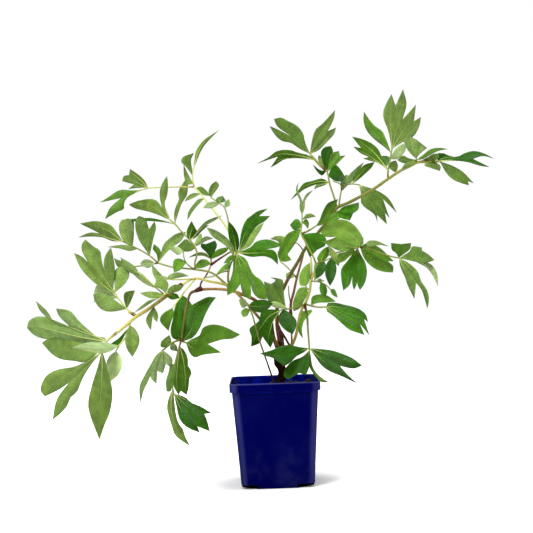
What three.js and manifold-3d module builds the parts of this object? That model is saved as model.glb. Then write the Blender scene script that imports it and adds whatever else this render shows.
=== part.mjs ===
// A potted tree peony: a square plastic pot filled with soil, a gnarled woody crown, the stems
// that fork from it, and the divided leaves that they carry.
// Millimetres, +Z up. The origin is the middle of the pot's underside, and the front faces -Y.
import * as THREE from "three";
import { mergeVertices } from "three/addons/utils/BufferGeometryUtils.js";
import Module from "manifold-3d";

const wasm = await Module();
wasm.setup();

// Pot
const POT_HEIGHT = 153;
const RIM_WIDTH = 131.5;
const RIM_SKIRT = 13; // height of the band that stands out round the top
const BODY_TOP_WIDTH = 125;
const BASE_WIDTH = 106;
const CORNER_RADIUS = 12;
const CORNER_STEPS = 4;
const WALL = 2;
const FLOOR_TOP = 8;
const FOOT_NOTCH = 6; // height of the gap cut under each corner
const FOOT_NOTCH_WIDTH = 30;
const DRAIN_RADIUS = 5;
const DRAIN_OFFSET = 26;
const DRAIN_SIDES = 12;

// Soil
const SOIL_EDGE = 137; // height where the soil meets the wall
const SOIL_MOUND = 7; // how much higher it lies round the crown
const SOIL_LUMP = 1.6;
const SOIL_RINGS = 6;

// Clearance between two pieces that touch, and the size of the slivers that are smoothed away
const GAP = 0.3;
const SLIVER = 0.02;

// Leaves
const BLADE_THICKNESS = 0.8;
const BLADE_ROWS = 4; // rows of a lobe from the blade's base to its tip, an even number
const WAIST_LIMITS = [0.2, 0.8]; // how far along a lobe its notch may lie
const BLADE_FOLD = 0.16; // how far the halves rise from the midrib, for each unit of width
const BLADE_ARCH = 0.05; // how far the middle rises, for each unit of length
const ROOT_STEPS = 8;
const STALK_SIDES = 5;
const STEM_SIDES = 7;
const CROWN_SIDES = 10;

// The plant's points are placed as the eye sees them: u to the right and v down in pixels of a
// view 533 across, and near towards the eye from the upright plane through the pot's middle, in
// millimetres before DEPTH spreads the plant to the front and back. The eye looks level along
// +Y, and the view is turned a little anticlockwise.
const VIEW_MIDDLE = 266.5;
const FOCAL_PIXELS = 1214.6;
const EYE_DISTANCE = 1800;
const EYE_HEIGHT = 320;
const EYE_X = -6;
const DEPTH = 1.5;
const VIEW_ROLL = THREE.MathUtils.degToRad(2);
const MM_PER_PIXEL = EYE_DISTANCE / FOCAL_PIXELS;

function seen([u, v, near]) {
  const across = u - VIEW_MIDDLE;
  const down = v - VIEW_MIDDLE;
  const right = across * Math.cos(VIEW_ROLL) - down * Math.sin(VIEW_ROLL);
  const below = across * Math.sin(VIEW_ROLL) + down * Math.cos(VIEW_ROLL);
  const scale = (EYE_DISTANCE - DEPTH * near) / FOCAL_PIXELS;
  return new THREE.Vector3(EYE_X + right * scale, -DEPTH * near, EYE_HEIGHT - below * scale);
}

// A round stalk of one radius in millimetres through points [u, v, near]
function stalk(radius, ...points) {
  return { radius, points };
}

// A leaf blade. It grows from the nearest point of its spray's stalks to u, v. The outline then
// runs round the blade and back, as [u, v] points: a tip has a third number, its droop away from
// the eye, and the point nearest to the base between two tips is their notch. The farthest tip
// lies at endNear, and turn is the angle in degrees by which the left half, seen from base to
// tip, comes nearer.
function blade(u, v, endNear, turn, ...outline) {
  return { base: [u, v], endNear, turn, outline };
}

// A leafy piece, with the pieces that carry it
function spray(name, carriers, stalks, blades) {
  return { name, carriers, stalks, blades };
}

// Woody and green stems, from the crown outwards
const STEMS = [
  spray("stem_left_arching", ["crown"], [
    stalk(2.2, [280, 349, 1], [268, 329, 13], [260, 319, 20], [246, 303, 30], [228, 286, 42],
      [210, 281.5, 50], [194, 278.5, 58], [180, 286, 64]),
    stalk(2.7, [182, 284.5, 63], [165, 297, 70], [150, 308, 74], [136, 317, 78], [124, 327, 81],
      [116, 333.5, 83.5]),
  ], []),
  spray("stem_left_woody", ["crown"], [
    stalk(2.8, [279.5, 354, -1], [273, 335, -8], [270, 318, -8], [256, 301, -4], [240, 293.5, 0],
      [228, 290, 4], [214, 289, 9], [199, 289.5, 14]),
    stalk(2, [201, 289.5, 13.5], [191, 293, 18], [188, 300, 20], [184, 320, 24], [181, 342, 26]),
  ], []),
  spray("stem_right_green", ["crown"], [
    stalk(2.2, [281.5, 354, 2], [292, 345, 18], [295.5, 337, 24], [297.5, 328, 30],
      [299.5, 317, 35], [302, 309, 38.5], [305.3, 303, 40], [309.5, 292, 42], [311.3, 280, 44],
      [316, 269, 48], [318.5, 262, 50]),
    stalk(1.6, [311.3, 279, 44], [311.5, 268, 38], [311, 257.5, 32]),
  ], []),
  spray("stem_right_tall", ["crown"], [
    stalk(2.8, [280.5, 348, -1], [277, 322, -13], [278.5, 300, -20], [285, 285, -24],
      [292.5, 271, -28], [299, 260, -30], [304.5, 250, -30], [317, 234, -27], [331, 217, -22],
      [337, 208, -20], [350, 202, -16], [372, 190, -8], [388, 179, 0], [400, 171, 7],
      [412, 165, 12], [417, 162.5, 14], [437, 161.5, 20]),
    stalk(2.4, [282.5, 346, 1], [282, 338, 3], [280, 330, -3], [277.3, 323, -12]),
    stalk(2, [283, 366, 3], [290, 356, 8], [291, 349, 8], [287.5, 342, 6], [283.5, 335, 3],
      [281, 331, -1]),
  ], []),
  spray("stem_right_thin", ["crown"], [
    stalk(1.6, [280, 361, -1], [287, 353, -9], [291.5, 343, -19], [291.5, 333, -24],
      [290.5, 312, -35]),
    stalk(2.1, [290.6, 315, -33], [291, 303, -39], [294, 291, -43], [297, 277, -48],
      [299.5, 268, -49], [302.3, 258, -50], [304, 251, -50]),
    stalk(1, [290.8, 303, -38.5], [289, 295, -44], [288.5, 286, -48]),
    stalk(0.9, [303.6, 251.5, -50], [300, 246, -50], [296, 242.8, -50], [290.5, 244.5, -50]),
  ], []),
];

const LEAVES = [
  spray("leaf_far_left", ["stem_left_arching"], [
    stalk(1.7, [117, 332.5, 83], [107, 341, 86.5], [101, 352, 90]),
  ], [
    blade(107, 341, 56, -25, [105, 337.6], [97, 336.5], [90, 331], [78, 320], [70, 311],
      [56, 308.5, 0], [59, 316], [66, 323], [73, 329], [62, 328], [54, 322], [47, 311],
      [36, 301, 0], [39, 309], [46, 317], [37, 316.5], [29, 321], [27, 328, 0], [34, 335],
      [44, 339], [60, 341], [85, 343.5]),
    blade(104, 346, 40, 20, [92, 344], [62, 340], [48, 339], [42, 343, 0], [53, 355], [62, 359.5],
      [75, 361], [83, 362.5], [93, 357]),
    blade(101, 352, 108, 25, [83, 363], [73, 367], [60, 369], [50, 373], [44, 379], [40.5, 391],
      [45, 396.5, 0], [60, 389], [69, 382.5], [57, 399], [52.5, 420, 0], [61, 413], [67, 406],
      [71, 397], [77, 392], [81, 382], [88, 369]),
    blade(102, 350, 66, 15, [98, 366], [92, 385], [88, 404], [90, 415], [99.5, 440, 0],
      [105, 424], [110, 412], [112.5, 392], [110, 378], [106, 363]),
  ]),
  spray("leaf_far_left_lower", ["stem_left_arching"], [
    stalk(1.2, [130, 322, 79], [128, 333, 84], [119, 346, 94], [115, 353, 98]),
  ], [
    blade(119, 346, 116, 55, [104, 342.5], [90, 342], [80, 344.5], [72, 347.5, 0], [84, 350.5],
      [97, 353], [107, 352.5], [115, 348.5]),
    blade(116, 351, 104, 20, [121, 357], [121.5, 367], [118, 375], [111, 381, 0], [107.5, 370],
      [106.5, 363], [110, 355.5]),
    blade(129, 325, 102, -20, [134, 328], [138, 334], [139.5, 341], [137, 349], [132.5, 357, 0],
      [127, 349], [125, 338]),
    blade(129, 327, 62, 20, [124.5, 332], [119, 338], [110, 344.5], [104, 352, 0], [112, 348.5],
      [119, 344.5], [125.5, 334]),
  ]),
  spray("leaf_far_left_upper", ["stem_left_arching"], [
    stalk(1.2, [137, 316, 78], [128, 310, 70], [118, 298, 60], [112, 288, 54]),
    stalk(1.9, [134, 314.5, 75.5], [129, 312, 71]),
  ], [
    blade(116, 296, 24, -20, [99, 286], [89.7, 278.5], [80.7, 268], [74, 253, 0], [81, 256],
      [88, 262], [82, 251], [82, 244], [85.5, 239.5, 0], [93, 246], [100, 251], [102, 262],
      [106, 275]),
    blade(113, 290, 38, 20, [107, 278], [103.5, 264], [106, 254], [111, 247.5, 0], [113, 256],
      [115, 270]),
    blade(115, 293, 44, -25, [114.5, 281], [114.5, 272], [118, 267.5], [127, 266, 0],
      [129.5, 274], [125.5, 283]),
    blade(126, 309, 60, 30, [116, 301], [108, 295], [100, 293], [93, 294.5, 0], [96, 303],
      [101, 309], [108, 311.5], [117, 311]),
    blade(126.5, 308, 56, 20, [124, 300], [124.5, 293], [129, 291], [135, 290.5, 0], [133, 296],
      [130, 303]),
    blade(118, 298, 24, 25, [109, 291], [98, 284], [94.5, 291], [94, 302.5, 0], [101, 301],
      [110, 299]),
  ]),
  spray("leaf_left_folded", ["stem_left_arching"], [
    stalk(1.1, [166, 296, 70], [155, 287, 60], [139, 275, 48]),
  ], [
    blade(140, 275.5, 34, 50, [136, 268], [130, 263], [120.5, 257.5, 0], [123, 265],
      [130, 272.5]),
    blade(157, 288.5, 44, -30, [148, 285.5], [139, 279.5], [131, 271.8, 0], [139, 272],
      [148, 279.3]),
  ]),
  spray("leaf_left_small", ["stem_left_arching"], [
    stalk(1.2, [171, 293, 69], [166, 293.5, 73], [157, 299, 77]),
  ], [
    blade(166, 293.5, 60, 25, [160, 288.5], [154, 286], [156, 281], [152.5, 273], [152, 264.5, 0],
      [157, 270], [163, 276.5], [168.5, 284.5]),
    blade(167, 293.5, 82, -25, [169, 288], [175, 284.5], [183.5, 286, 0], [179, 291]),
    blade(164, 294.5, 92, 45, [158, 292.5], [150, 291.5], [140, 293, 0], [147, 297],
      [156, 298.5]),
    blade(157, 299, 92, 50, [150, 300], [142, 305.5], [134.5, 312.5, 0], [143, 308],
      [151, 302.7]),
    blade(171, 293, 58, 20, [167.5, 296.5], [171.5, 299.5], [179.5, 298, 0], [177, 294]),
  ]),
  spray("leaf_left_hanging_pair", ["stem_left_arching"], [
    stalk(1.1, [158, 302, 72], [154, 306.5, 79]),
  ], [
    blade(154, 306.5, 88, 20, [149, 313], [146, 320], [148, 326], [151, 330, 0], [152, 321],
      [153, 315], [154, 319], [157, 322, 0], [158, 315]),
  ]),
  spray("leaf_left_arched", ["stem_left_arching"], [
    stalk(1.1, [193, 279, 58], [181, 279.5, 72], [169, 279.5, 84]),
  ], [
    blade(170, 279.5, 96, 25, [168, 276.5], [172, 273.5], [180, 272.5], [189, 276, 0],
      [182, 277]),
    blade(171, 279.5, 92, -20, [166, 276.5], [158, 276, 0], [163, 279.5]),
  ]),
  spray("leaf_left_yellow_stalk", ["stem_left_arching"], [
    stalk(1.1, [195, 279, 58], [183, 294, 78], [172.5, 308, 92]),
  ], [
    blade(172.5, 308, 104, -20, [165, 312], [161, 316], [160, 321], [168.5, 331, 0], [171, 322],
      [174, 313]),
  ]),
  spray("leaf_low_left", ["stem_left_woody"], [
    stalk(1.4, [181.5, 338, 25], [183, 341.5, 22], [187, 343, 25]),
  ], [
    blade(183, 341, 0, -20, [180.5, 330], [180, 318], [177.5, 306], [178, 299], [182, 295, 0],
      [188, 299], [192, 305], [200, 300.5], [208, 297], [216, 297.5, 0], [211, 304], [205, 315],
      [200.5, 326.5], [193, 337.5]),
    blade(186, 343, 60, -25, [191, 339.5], [200, 335], [202, 329], [207, 325.5], [215, 324.5],
      [224, 326.5], [240, 334.5, 0], [233, 338.5], [222, 339.5], [208, 344], [221.5, 352.5, 0],
      [202, 355], [195, 357.5], [191, 355], [188, 349]),
    blade(182.5, 340, 12, 15, [173, 338.5], [170.5, 331], [173, 318], [175, 307], [179, 299.5, 0],
      [182.5, 315], [183, 332]),
  ]),
  spray("leaf_low_left_hanging", ["stem_left_woody"], [
    stalk(1.3, [181, 341, 26], [179, 348, 36], [174, 368, 52], [172, 380, 58], [174, 395, 62]),
  ], [
    blade(180, 346, 20, 15, [176, 360], [172.5, 376], [173.5, 386], [178.5, 395, 0], [181, 391],
      [186.5, 395, 0], [188.5, 388], [189.5, 378], [192.5, 370], [188.5, 369], [188, 360],
      [185, 351]),
    blade(174.5, 364, 66, 20, [170.5, 364.5], [168.5, 372], [166, 381], [166.5, 391.5, 0],
      [170.5, 391.5], [173, 381], [176, 369]),
    blade(173, 389, 44, 20, [169, 397], [167, 407], [169, 417], [171.5, 425], [175, 435],
      [182, 441], [190.5, 446.5, 0], [185, 436], [183, 429], [179, 424], [176, 414],
      [174.5, 402]),
    blade(174, 394, 84, -15, [185, 397], [192, 403], [200, 406], [211.5, 413, 0], [204.5, 414],
      [207, 420], [210, 431.5, 0], [197.5, 426.5], [200, 433, 0], [186.5, 427], [179.7, 419.5],
      [176.7, 408]),
  ]),
  spray("leaf_low_left_pale", ["stem_left_woody"], [
    stalk(1.5, [180.5, 339.5, 26], [172, 343, 40], [162, 351, 52]),
  ], [
    blade(171.5, 343.5, 32, 30, [166, 347], [161, 347], [161, 342], [165, 338], [169.5, 335, 0],
      [171, 339]),
    blade(163, 350.5, 38, 15, [168, 354], [172, 358], [172.5, 363], [169.5, 366.5, 0], [166, 364],
      [163, 373.5, 0], [157.5, 371], [156.5, 384, 0], [151.5, 379], [149.5, 372], [152, 362],
      [157, 354]),
    blade(162, 351, 60, 45, [155, 358], [149.5, 366.5], [144, 376.5], [139.5, 387],
      [140.5, 404, 0], [143.5, 391], [148, 381.5], [153, 370]),
    blade(173.5, 343, 28, -20, [170.5, 345.5], [170.5, 349.5], [177.5, 351.5, 0], [177, 346.5]),
  ]),
  spray("leaf_mid_left", ["stem_left_arching"], [
    stalk(1.5, [228, 286, 42], [212, 273, 34], [195, 269.5, 24], [172, 267, 8], [158, 263, -2]),
    stalk(1.2, [158, 263, -2], [150, 256, -10], [140, 250, -18], [123, 241.5, -30]),
    stalk(1.2, [158, 263, -2], [144, 265.5, -8], [131, 267, -14]),
    stalk(1, [195, 269.5, 24], [188, 265, 27], [184.3, 259, 29], [183.3, 250.5, 30]),
  ], [
    blade(123, 242, -54, -30, [117, 233], [112, 226], [107, 223.5], [95, 221], [80, 223.5, 0],
      [100, 233.5], [90, 232.5], [78, 237.5, 0], [90, 236.5], [103, 237.5], [112, 241]),
    blade(133, 246, -48, 20, [124, 241.5], [119.5, 232], [120, 222], [127, 218.5, 0], [133, 220],
      [134, 232]),
    blade(138, 249, -6, 50, [130, 245.5], [120, 245], [107.5, 247, 0], [120, 248.5], [130, 251]),
    blade(150, 256, -36, 20, [145, 249], [139, 240], [135.5, 229], [136, 219], [139, 216, 0],
      [145, 218.5], [149, 229], [154.5, 221.5, 0], [156, 228], [153.5, 238]),
    blade(158.5, 262, -16, 30, [156.5, 254], [152.8, 249], [154, 244, 0], [160, 249.5],
      [160.8, 256]),
    blade(158, 263, -26, -25, [161, 252], [164, 244], [170, 238], [178, 233], [186, 232, 0],
      [181, 241], [174, 246], [167, 252]),
    blade(156, 263, 12, 30, [150, 260], [144, 259.5], [140, 264, 0], [148, 268]),
    blade(131, 266, -28, -30, [126, 262], [118, 260], [114, 258, 0], [117, 266], [124, 270]),
    blade(186.3, 263, 36, 20, [183, 260], [178, 258.5], [174, 260], [173, 266], [174, 272.5, 0],
      [180, 270]),
    blade(183.3, 251.5, 22, 25, [178, 246.8], [172, 247.3], [169.8, 249.5, 0], [174, 252.3],
      [178, 255]),
  ]),
  spray("leaf_upper_left", ["leaf_mid_left"], [
    stalk(1.3, [195, 269.5, 24], [195, 262, 16], [197, 254, 8], [195, 247, 2], [187, 237, -10],
      [181, 231, -18], [175, 224, -28], [170, 220, -34]),
  ], [
    blade(171, 221, -76, -20, [162, 216.5], [150, 212], [134, 208], [129, 204.5, 0], [137, 201],
      [155, 199.5], [162, 207.5], [160, 198], [160, 190], [163, 182], [167, 176, 0], [168, 185],
      [167, 196], [164.5, 204]),
    blade(174, 223.5, -54, 55, [163, 220.5], [150, 218], [138, 218.5], [120, 220, 0],
      [138, 221.5], [150, 221]),
    blade(175, 224, -66, 15, [174, 214], [176, 206], [179, 199], [178, 193], [181, 186],
      [189, 175, 0], [188, 185], [187, 195], [182, 203], [179, 211]),
    blade(189, 240, -26, 20, [187, 236], [187, 230], [191.5, 221, 0], [197, 231], [204, 226],
      [209, 225, 0], [203, 230], [195, 238]),
    blade(190, 241, -38, 40, [197, 231], [205, 222], [213, 218], [222, 215.5, 0], [214, 221],
      [205, 226]),
    blade(194, 246, -8, -30, [196, 240], [198.5, 235.5], [201.5, 233.5, 0], [202, 238.5],
      [199, 243]),
    blade(195.5, 248.5, -12, 30, [191, 243], [186, 239], [181, 243], [176.5, 247.3, 0],
      [182, 251], [190, 251.3]),
    blade(194.5, 246.5, -24, 20, [199, 241.3], [206, 236.3], [213.5, 238.5, 0], [206, 241],
      [199.5, 245]),
  ]),
  spray("leaf_top_left", ["leaf_centre"], [
    stalk(1.4, [234.8, 260, 59.5], [234.8, 252, 50], [233, 241, 43], [228, 230, 34],
      [219, 217, 14], [207, 202, -8], [200, 193, -20], [194, 187, -30]),
    stalk(1.1, [194, 187, -30], [172, 187, -52], [148, 188, -74]),
    stalk(1, [194, 187, -30], [192.5, 178, -34], [193, 169, -38]),
  ], [
    blade(149, 188, -92, -25, [145, 181], [139, 175], [130, 169, 0], [129, 175], [124, 176],
      [122, 181, 0], [134, 184.5], [128, 189, 0], [138, 188]),
    blade(148, 188, -58, 25, [135, 190.5], [120, 190], [110, 196], [100, 202.5, 0], [121, 198],
      [110, 208], [105, 219, 0], [118, 211.5], [124, 209], [124, 203], [128, 197], [137, 192]),
    blade(193, 170, -76, 40, [194.5, 160], [196, 151], [203, 141], [219, 130, 0], [211, 138],
      [204, 146], [200, 153], [196, 163]),
    blade(192.5, 176, -50, 20, [187, 168], [181, 161], [183, 157], [194, 153, 0], [191, 160],
      [192, 169]),
    blade(193, 184, -46, 30, [187, 184], [184, 176], [183.5, 164, 0], [187, 172]),
    blade(195, 188, -14, -25, [201, 186.5], [206, 190], [210.5, 196, 0], [204, 195], [199, 192]),
    blade(200, 194, -14, 30, [194, 193], [188, 196], [184.5, 201.5, 0], [191, 199]),
    blade(204, 198, 8, 30, [199, 199], [193, 205], [188, 213], [187.5, 220, 0], [193, 211],
      [199, 204]),
  ]),
  spray("leaf_top_left_small", ["leaf_top_left"], [
    stalk(1, [229, 231, 36], [228, 220, 34], [224, 207, 26], [217, 202, 20], [210.5, 197, 14]),
  ], [
    blade(211.5, 197.7, 6, 20, [208.5, 192], [211, 185], [216, 181, 0], [219, 185], [215, 192]),
    blade(219, 203.3, 22, 20, [215.5, 200], [218, 197], [223, 196, 0], [225.5, 201]),
    blade(220, 204, 34, 20, [213, 201.5], [207, 203], [203, 208, 0], [212, 208]),
    blade(224.5, 208, 28, -20, [225, 202], [229, 199, 0], [230, 205]),
  ]),
  spray("leaf_centre", ["stem_left_arching"], [
    stalk(1.6, [229.5, 287.5, 42], [228, 277, 51], [230, 266, 57], [234.5, 257, 61],
      [239, 251, 63]),
    stalk(1.1, [229.3, 270.5, 54.5], [221, 272.5, 55], [213, 276.3, 56], [204.5, 277.7, 57]),
  ], [
    blade(235, 258, 90, -25, [228, 248], [219, 241], [212, 236], [206.5, 227.5, 0], [214, 229.5],
      [222, 234], [229, 240], [234, 248]),
    blade(237, 255, 74, 20, [232, 246], [229, 238], [228, 229], [229, 221.5, 0], [234, 227],
      [238, 235], [239, 246]),
    blade(239, 251, 34, 15, [240, 240], [242, 229], [246, 220], [252, 215], [258, 211],
      [268, 208.5, 0], [259, 216], [270, 216, 0], [265, 221], [257, 226], [251, 234], [246, 243]),
    blade(239, 251, 52, -30, [246, 243], [252, 232], [258, 226], [264, 222.5, 0], [261, 229],
      [256, 237], [250, 246]),
    blade(239, 252, 84, -30, [251, 247], [255, 242.5], [262, 239.8], [270, 239.8], [283, 245, 0],
      [276, 247.5], [266, 249.3], [255, 251.5]),
    blade(238.5, 253, 98, 25, [254, 249.5], [265, 249.3], [274, 250.5], [277.5, 256.5],
      [277.8, 264.5, 0], [271.5, 258.7], [264, 256.2], [251, 256.8]),
    blade(238, 255, 94, 10, [246, 259], [250, 268], [254, 275], [261, 280], [265, 287],
      [266.8, 299.5, 0], [259, 298.5], [253.5, 293.5], [250.5, 284], [251, 292], [250.5, 300, 0],
      [243.5, 295], [240.3, 284], [235.5, 290.5], [227.5, 295.5, 0], [227, 287], [230.5, 279],
      [233, 270], [233.5, 261]),
    blade(236, 257, 76, 20, [232, 255], [227, 258], [223.5, 263.5, 0], [229, 262]),
    blade(234, 262, 82, 35, [229, 262], [222, 267], [215, 276, 0], [223, 271], [230, 268]),
  ]),
  spray("leaf_centre_left", ["stem_left_woody"], [
    stalk(1.3, [200, 289, 14], [201, 283, 6], [207, 274, -6], [211, 264, -16], [211, 258, -20]),
    stalk(1.6, [210.7, 265, -15], [220, 258.5, -15], [231, 251.5, -14]),
  ], [
    blade(211, 259, -36, 20, [206, 252], [201, 247], [201, 243.5, 0], [206, 244], [215, 240.5, 0],
      [217, 245], [215, 251]),
    blade(211, 259, -12, -30, [213.5, 253], [219, 249], [229, 247, 0], [227, 251], [219, 256]),
    blade(211, 259, -6, 35, [206, 253.5], [199, 252.3], [188, 257.5, 0], [197, 255.8],
      [204, 256]),
    blade(211, 264, -6, 30, [207, 260], [201, 259.5], [197, 263], [194, 268.5, 0], [202, 268]),
  ]),
  spray("leaf_centre_back", ["stem_right_thin"], [
    stalk(1.1, [296, 277, -48], [288, 268, -56], [280, 261, -62]),
  ], [
    blade(280, 261, -84, 20, [277.5, 254], [281, 246], [283.5, 239], [289, 232.5],
      [300.5, 228.5, 0], [298.5, 238], [287.5, 254.5], [291.5, 260, 0], [285, 261.8]),
    blade(280.5, 261, -72, 25, [278, 254], [279.5, 247], [278, 241.5], [270.3, 239, 0],
      [276, 236], [285, 237.5], [286, 246], [283, 256]),
    blade(291.5, 271.7, -46, 20, [289, 272], [286, 274.5], [286.5, 279.8, 0], [290.5, 278.5],
      [294, 277]),
  ]),
  spray("leaf_from_soil", [], [
    stalk(1.3, [274, 398, 14], [273, 381, 18], [268, 365, 26], [260, 342, 34], [256, 328, 38],
      [252, 314, 42], [248, 305, 44]),
  ], [
    blade(248, 306, 86, 30, [252, 302], [258, 300], [266, 300], [273, 303.5, 0], [268, 309],
      [261, 312.5], [254, 311]),
    blade(250, 310, 58, 20, [245, 308], [241, 312], [243, 317, 0], [247, 316]),
    blade(248, 305, 58, 30, [244.5, 299], [239, 299.5, 0], [240.5, 305], [243, 308]),
  ]),
  spray("leaf_centre_low", ["stem_right_green"], [
    stalk(1.3, [304.5, 305, 40], [290, 308.5, 54], [281, 310, 62]),
  ], [
    blade(283, 309.5, 82, -15, [287, 311], [292, 315], [296.5, 321], [296, 327], [293, 334, 0],
      [288, 332], [283, 328], [279, 322], [279, 315]),
    blade(281, 310, 0, -14, [273, 309.5], [261.5, 310.5], [259, 321], [249.5, 328.5],
      [251.5, 337], [251, 346.5, 0], [259.5, 343], [262.5, 336.5], [270.5, 348, 0], [273.3, 341],
      [272.5, 330], [272.5, 321], [275.5, 315]),
    blade(286, 309, 42, 20, [277, 306], [268.5, 301], [265.5, 292], [264, 281.5, 0], [271, 284],
      [276.5, 280.8], [270.4, 277.4, 0], [277, 278.2], [283, 280], [283.5, 289], [284.5, 299]),
    blade(288, 308.5, 74, 35, [280, 303], [273, 301.5], [269, 304, 0], [275, 307.5]),
  ]),
  spray("leaf_centre_yellow", ["stem_right_green"], [
    stalk(1, [309.3, 290, 42], [306.5, 287.5, 34], [305, 284, 28]),
  ], [
    blade(306, 287, 22, 15, [299.5, 288], [295, 296], [292.8, 304], [293.5, 311.3, 0],
      [300, 308.3], [304.5, 300], [308, 293]),
    blade(305.5, 286.3, 20, 20, [300.5, 285.5], [299.2, 276], [303.5, 267.5], [309.8, 262.5, 0],
      [310.3, 272], [309, 282]),
  ]),
  spray("leaf_centre_top", ["stem_right_green"], [
    stalk(1.2, [316.5, 267, 49], [314.5, 259.5, 48], [310.5, 251.5, 40], [306, 243, 27],
      [301, 233, 14], [302, 222, 8], [302, 214, 4]),
    stalk(1.4, [301, 234, 14], [308, 231, 12], [316, 226, 10]),
  ], [
    blade(302, 215, -8, 40, [299.6, 208], [299.6, 200], [296.4, 193], [296.2, 187],
      [298.8, 182, 0], [297.8, 187.5], [298.3, 192], [301.5, 199], [304, 208]),
    blade(302, 216, -10, 40, [302.2, 206], [303.3, 199.5], [306.5, 194], [313, 190, 0],
      [308.5, 195.5], [305.3, 200.5], [304.5, 208]),
    blade(302, 220, 22, -30, [306, 214.5], [311, 213.5], [316, 216.5, 0], [309, 218]),
    blade(302, 223, 18, -30, [306, 219], [309, 223], [308, 229, 0], [305, 225]),
    blade(301.5, 228, -2, 30, [300, 221], [296, 219], [290, 225, 0], [294, 230]),
    blade(316, 226, -12, 20, [320, 219], [323, 211], [328, 203], [338, 199, 0], [335, 208],
      [329, 217], [322, 225]),
    blade(302, 235, 8, -20, [312, 233], [320, 233.3], [326, 238], [325, 246, 0], [317, 250],
      [310, 257.5, 0], [307, 251], [305, 243]),
  ]),
  spray("leaf_right_inner", ["stem_right_green"], [
    stalk(1.1, [318.5, 263, 50], [324, 261, 62], [331, 258, 70]),
  ], [
    blade(321.5, 262, 56, 20, [317, 259.3], [320, 252.5], [323.5, 249], [327.5, 246.5, 0],
      [329, 252], [327, 258]),
    blade(324, 261, 76, 20, [318, 265], [315.6, 271], [316.5, 279, 0], [322.5, 274.5],
      [326.5, 266.5]),
    blade(331, 258, 86, 10, [327, 263], [325, 272], [326.5, 279], [330, 286, 0], [334, 279],
      [336.5, 270], [335, 262]),
  ]),
  spray("leaf_right_mid", ["stem_right_green"], [
    stalk(1.3, [318.5, 261, 49], [326, 256, 52], [335, 253, 54], [348, 250, 58], [360, 247, 62]),
  ], [
    blade(360, 247, 98, -35, [364, 242], [361, 234], [355, 226], [348, 221], [339, 219.5],
      [330, 222], [324, 227], [320.5, 232.5, 0], [325, 236.5], [331, 237], [337, 236.5],
      [330, 239.5], [322.5, 241.5, 0], [328.5, 245.5], [338, 250.3], [350, 250.8]),
    blade(353, 249, 72, 30, [345, 252], [338, 254], [337, 259], [339, 263, 0], [344, 261.3],
      [350, 256], [356, 252]),
    blade(336, 252.7, 66, 15, [332, 248.5], [328, 245.5], [329.8, 254], [333.5, 261.3],
      [338.7, 266.3, 0], [340, 259]),
    blade(358, 247.5, 92, 10, [353, 253.5], [347, 261.5], [341.3, 269], [341.3, 279],
      [343.3, 290.5, 0], [349.5, 285], [352.3, 276.5], [352.3, 284], [354, 290, 0], [356.7, 284],
      [357.3, 275], [357.3, 284], [360, 290, 0], [364.5, 283.5], [367, 272], [365, 262],
      [361, 255]),
    blade(360, 247, 40, -20, [366, 243], [374, 244.5], [382, 249.5], [388, 255.5],
      [393.8, 261.3, 0], [388, 261.3], [393, 266], [393, 272.5, 0], [385, 272], [376, 269.3],
      [369, 264.3], [363.5, 257]),
    blade(318.7, 261.5, 60, 20, [314.8, 264], [313.8, 273], [314.6, 283.5, 0], [317, 275],
      [318.7, 268]),
  ]),
  spray("leaf_right_far", ["leaf_right_mid"], [
    stalk(1.2, [360.4, 247.1, 63], [368, 248, 67], [380, 252.5, 67], [391, 256.5, 67],
      [400, 258, 68], [410, 258.5, 72]),
  ], [
    blade(366.5, 247.5, 76, -40, [367, 242], [371, 240.5], [377, 241], [389, 246.5, 0],
      [379, 245]),
    blade(399, 258, 52, 20, [396, 253], [392, 250], [391, 243, 0], [401, 244], [411, 243, 0],
      [410, 249], [404, 254]),
    blade(400, 258, 96, -20, [404, 255], [410, 251], [412, 246.5], [422, 247.5, 0], [422, 250.5],
      [428, 254], [434.5, 260, 0], [425, 263], [412, 261]),
    blade(410, 259, 96, 30, [424, 261.5], [432, 265], [437, 274], [438, 286, 0], [433, 276],
      [427, 268], [420, 264]),
    blade(400, 258.5, 106, 10, [399.5, 264], [402, 271], [405.3, 278], [407.5, 285],
      [414.5, 299, 0], [416, 283], [421, 289], [427.5, 308.5, 0], [429, 299], [427, 290],
      [421, 281], [418, 272], [410, 264]),
  ]),
  spray("leaf_right_low", ["stem_right_green"], [
    stalk(1.3, [305, 304, 40], [317, 307, 54], [327, 307, 62]),
  ], [
    blade(326, 307, 88, -15, [326, 303.8], [334, 302.5], [343, 304.5], [352, 306.5], [360, 309.5],
      [366, 315], [368, 322, 0], [364, 319], [369.5, 335.5, 0], [360, 324], [364.5, 335, 0],
      [357, 332.5], [349, 329.5], [341, 322.7], [333, 315.5], [326, 310.3]),
    blade(311, 305, 34, -30, [312, 297], [318, 294.5], [326, 295], [336, 301.5, 0], [326, 302.5],
      [317, 303]),
  ]),
  spray("leaf_right_strand", ["stem_right_green"], [
    stalk(0.9, [310.5, 281, 43.3], [319, 282, 50], [326, 285, 56], [331, 290, 60]),
  ], [
    blade(320.5, 282.5, 62, 20, [319.5, 288], [321, 294], [324.5, 296.5, 0], [327, 293],
      [326, 286]),
    blade(330.5, 289.5, 72, -30, [334, 289], [336.5, 293], [337.5, 297.5, 0], [334, 296],
      [331, 293]),
    blade(315, 281.5, 56, -20, [319, 278.5], [325, 281, 0], [320, 282]),
  ]),
  spray("leaf_over_rim", ["stem_right_green"], [
    stalk(1.6, [305, 306, 39], [307, 315, 50], [308, 330, 64], [309.5, 350, 78]),
  ], [
    blade(308.5, 348, 98, 25, [299, 347], [290, 345], [281, 346], [272, 350], [260, 353.5, 0],
      [266, 356], [273, 358], [280, 363], [285, 365.5], [291, 362], [297, 356], [303, 353]),
    blade(309, 350, 98, 20, [302, 357], [294, 360], [289, 364], [285, 369], [284, 376],
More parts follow.
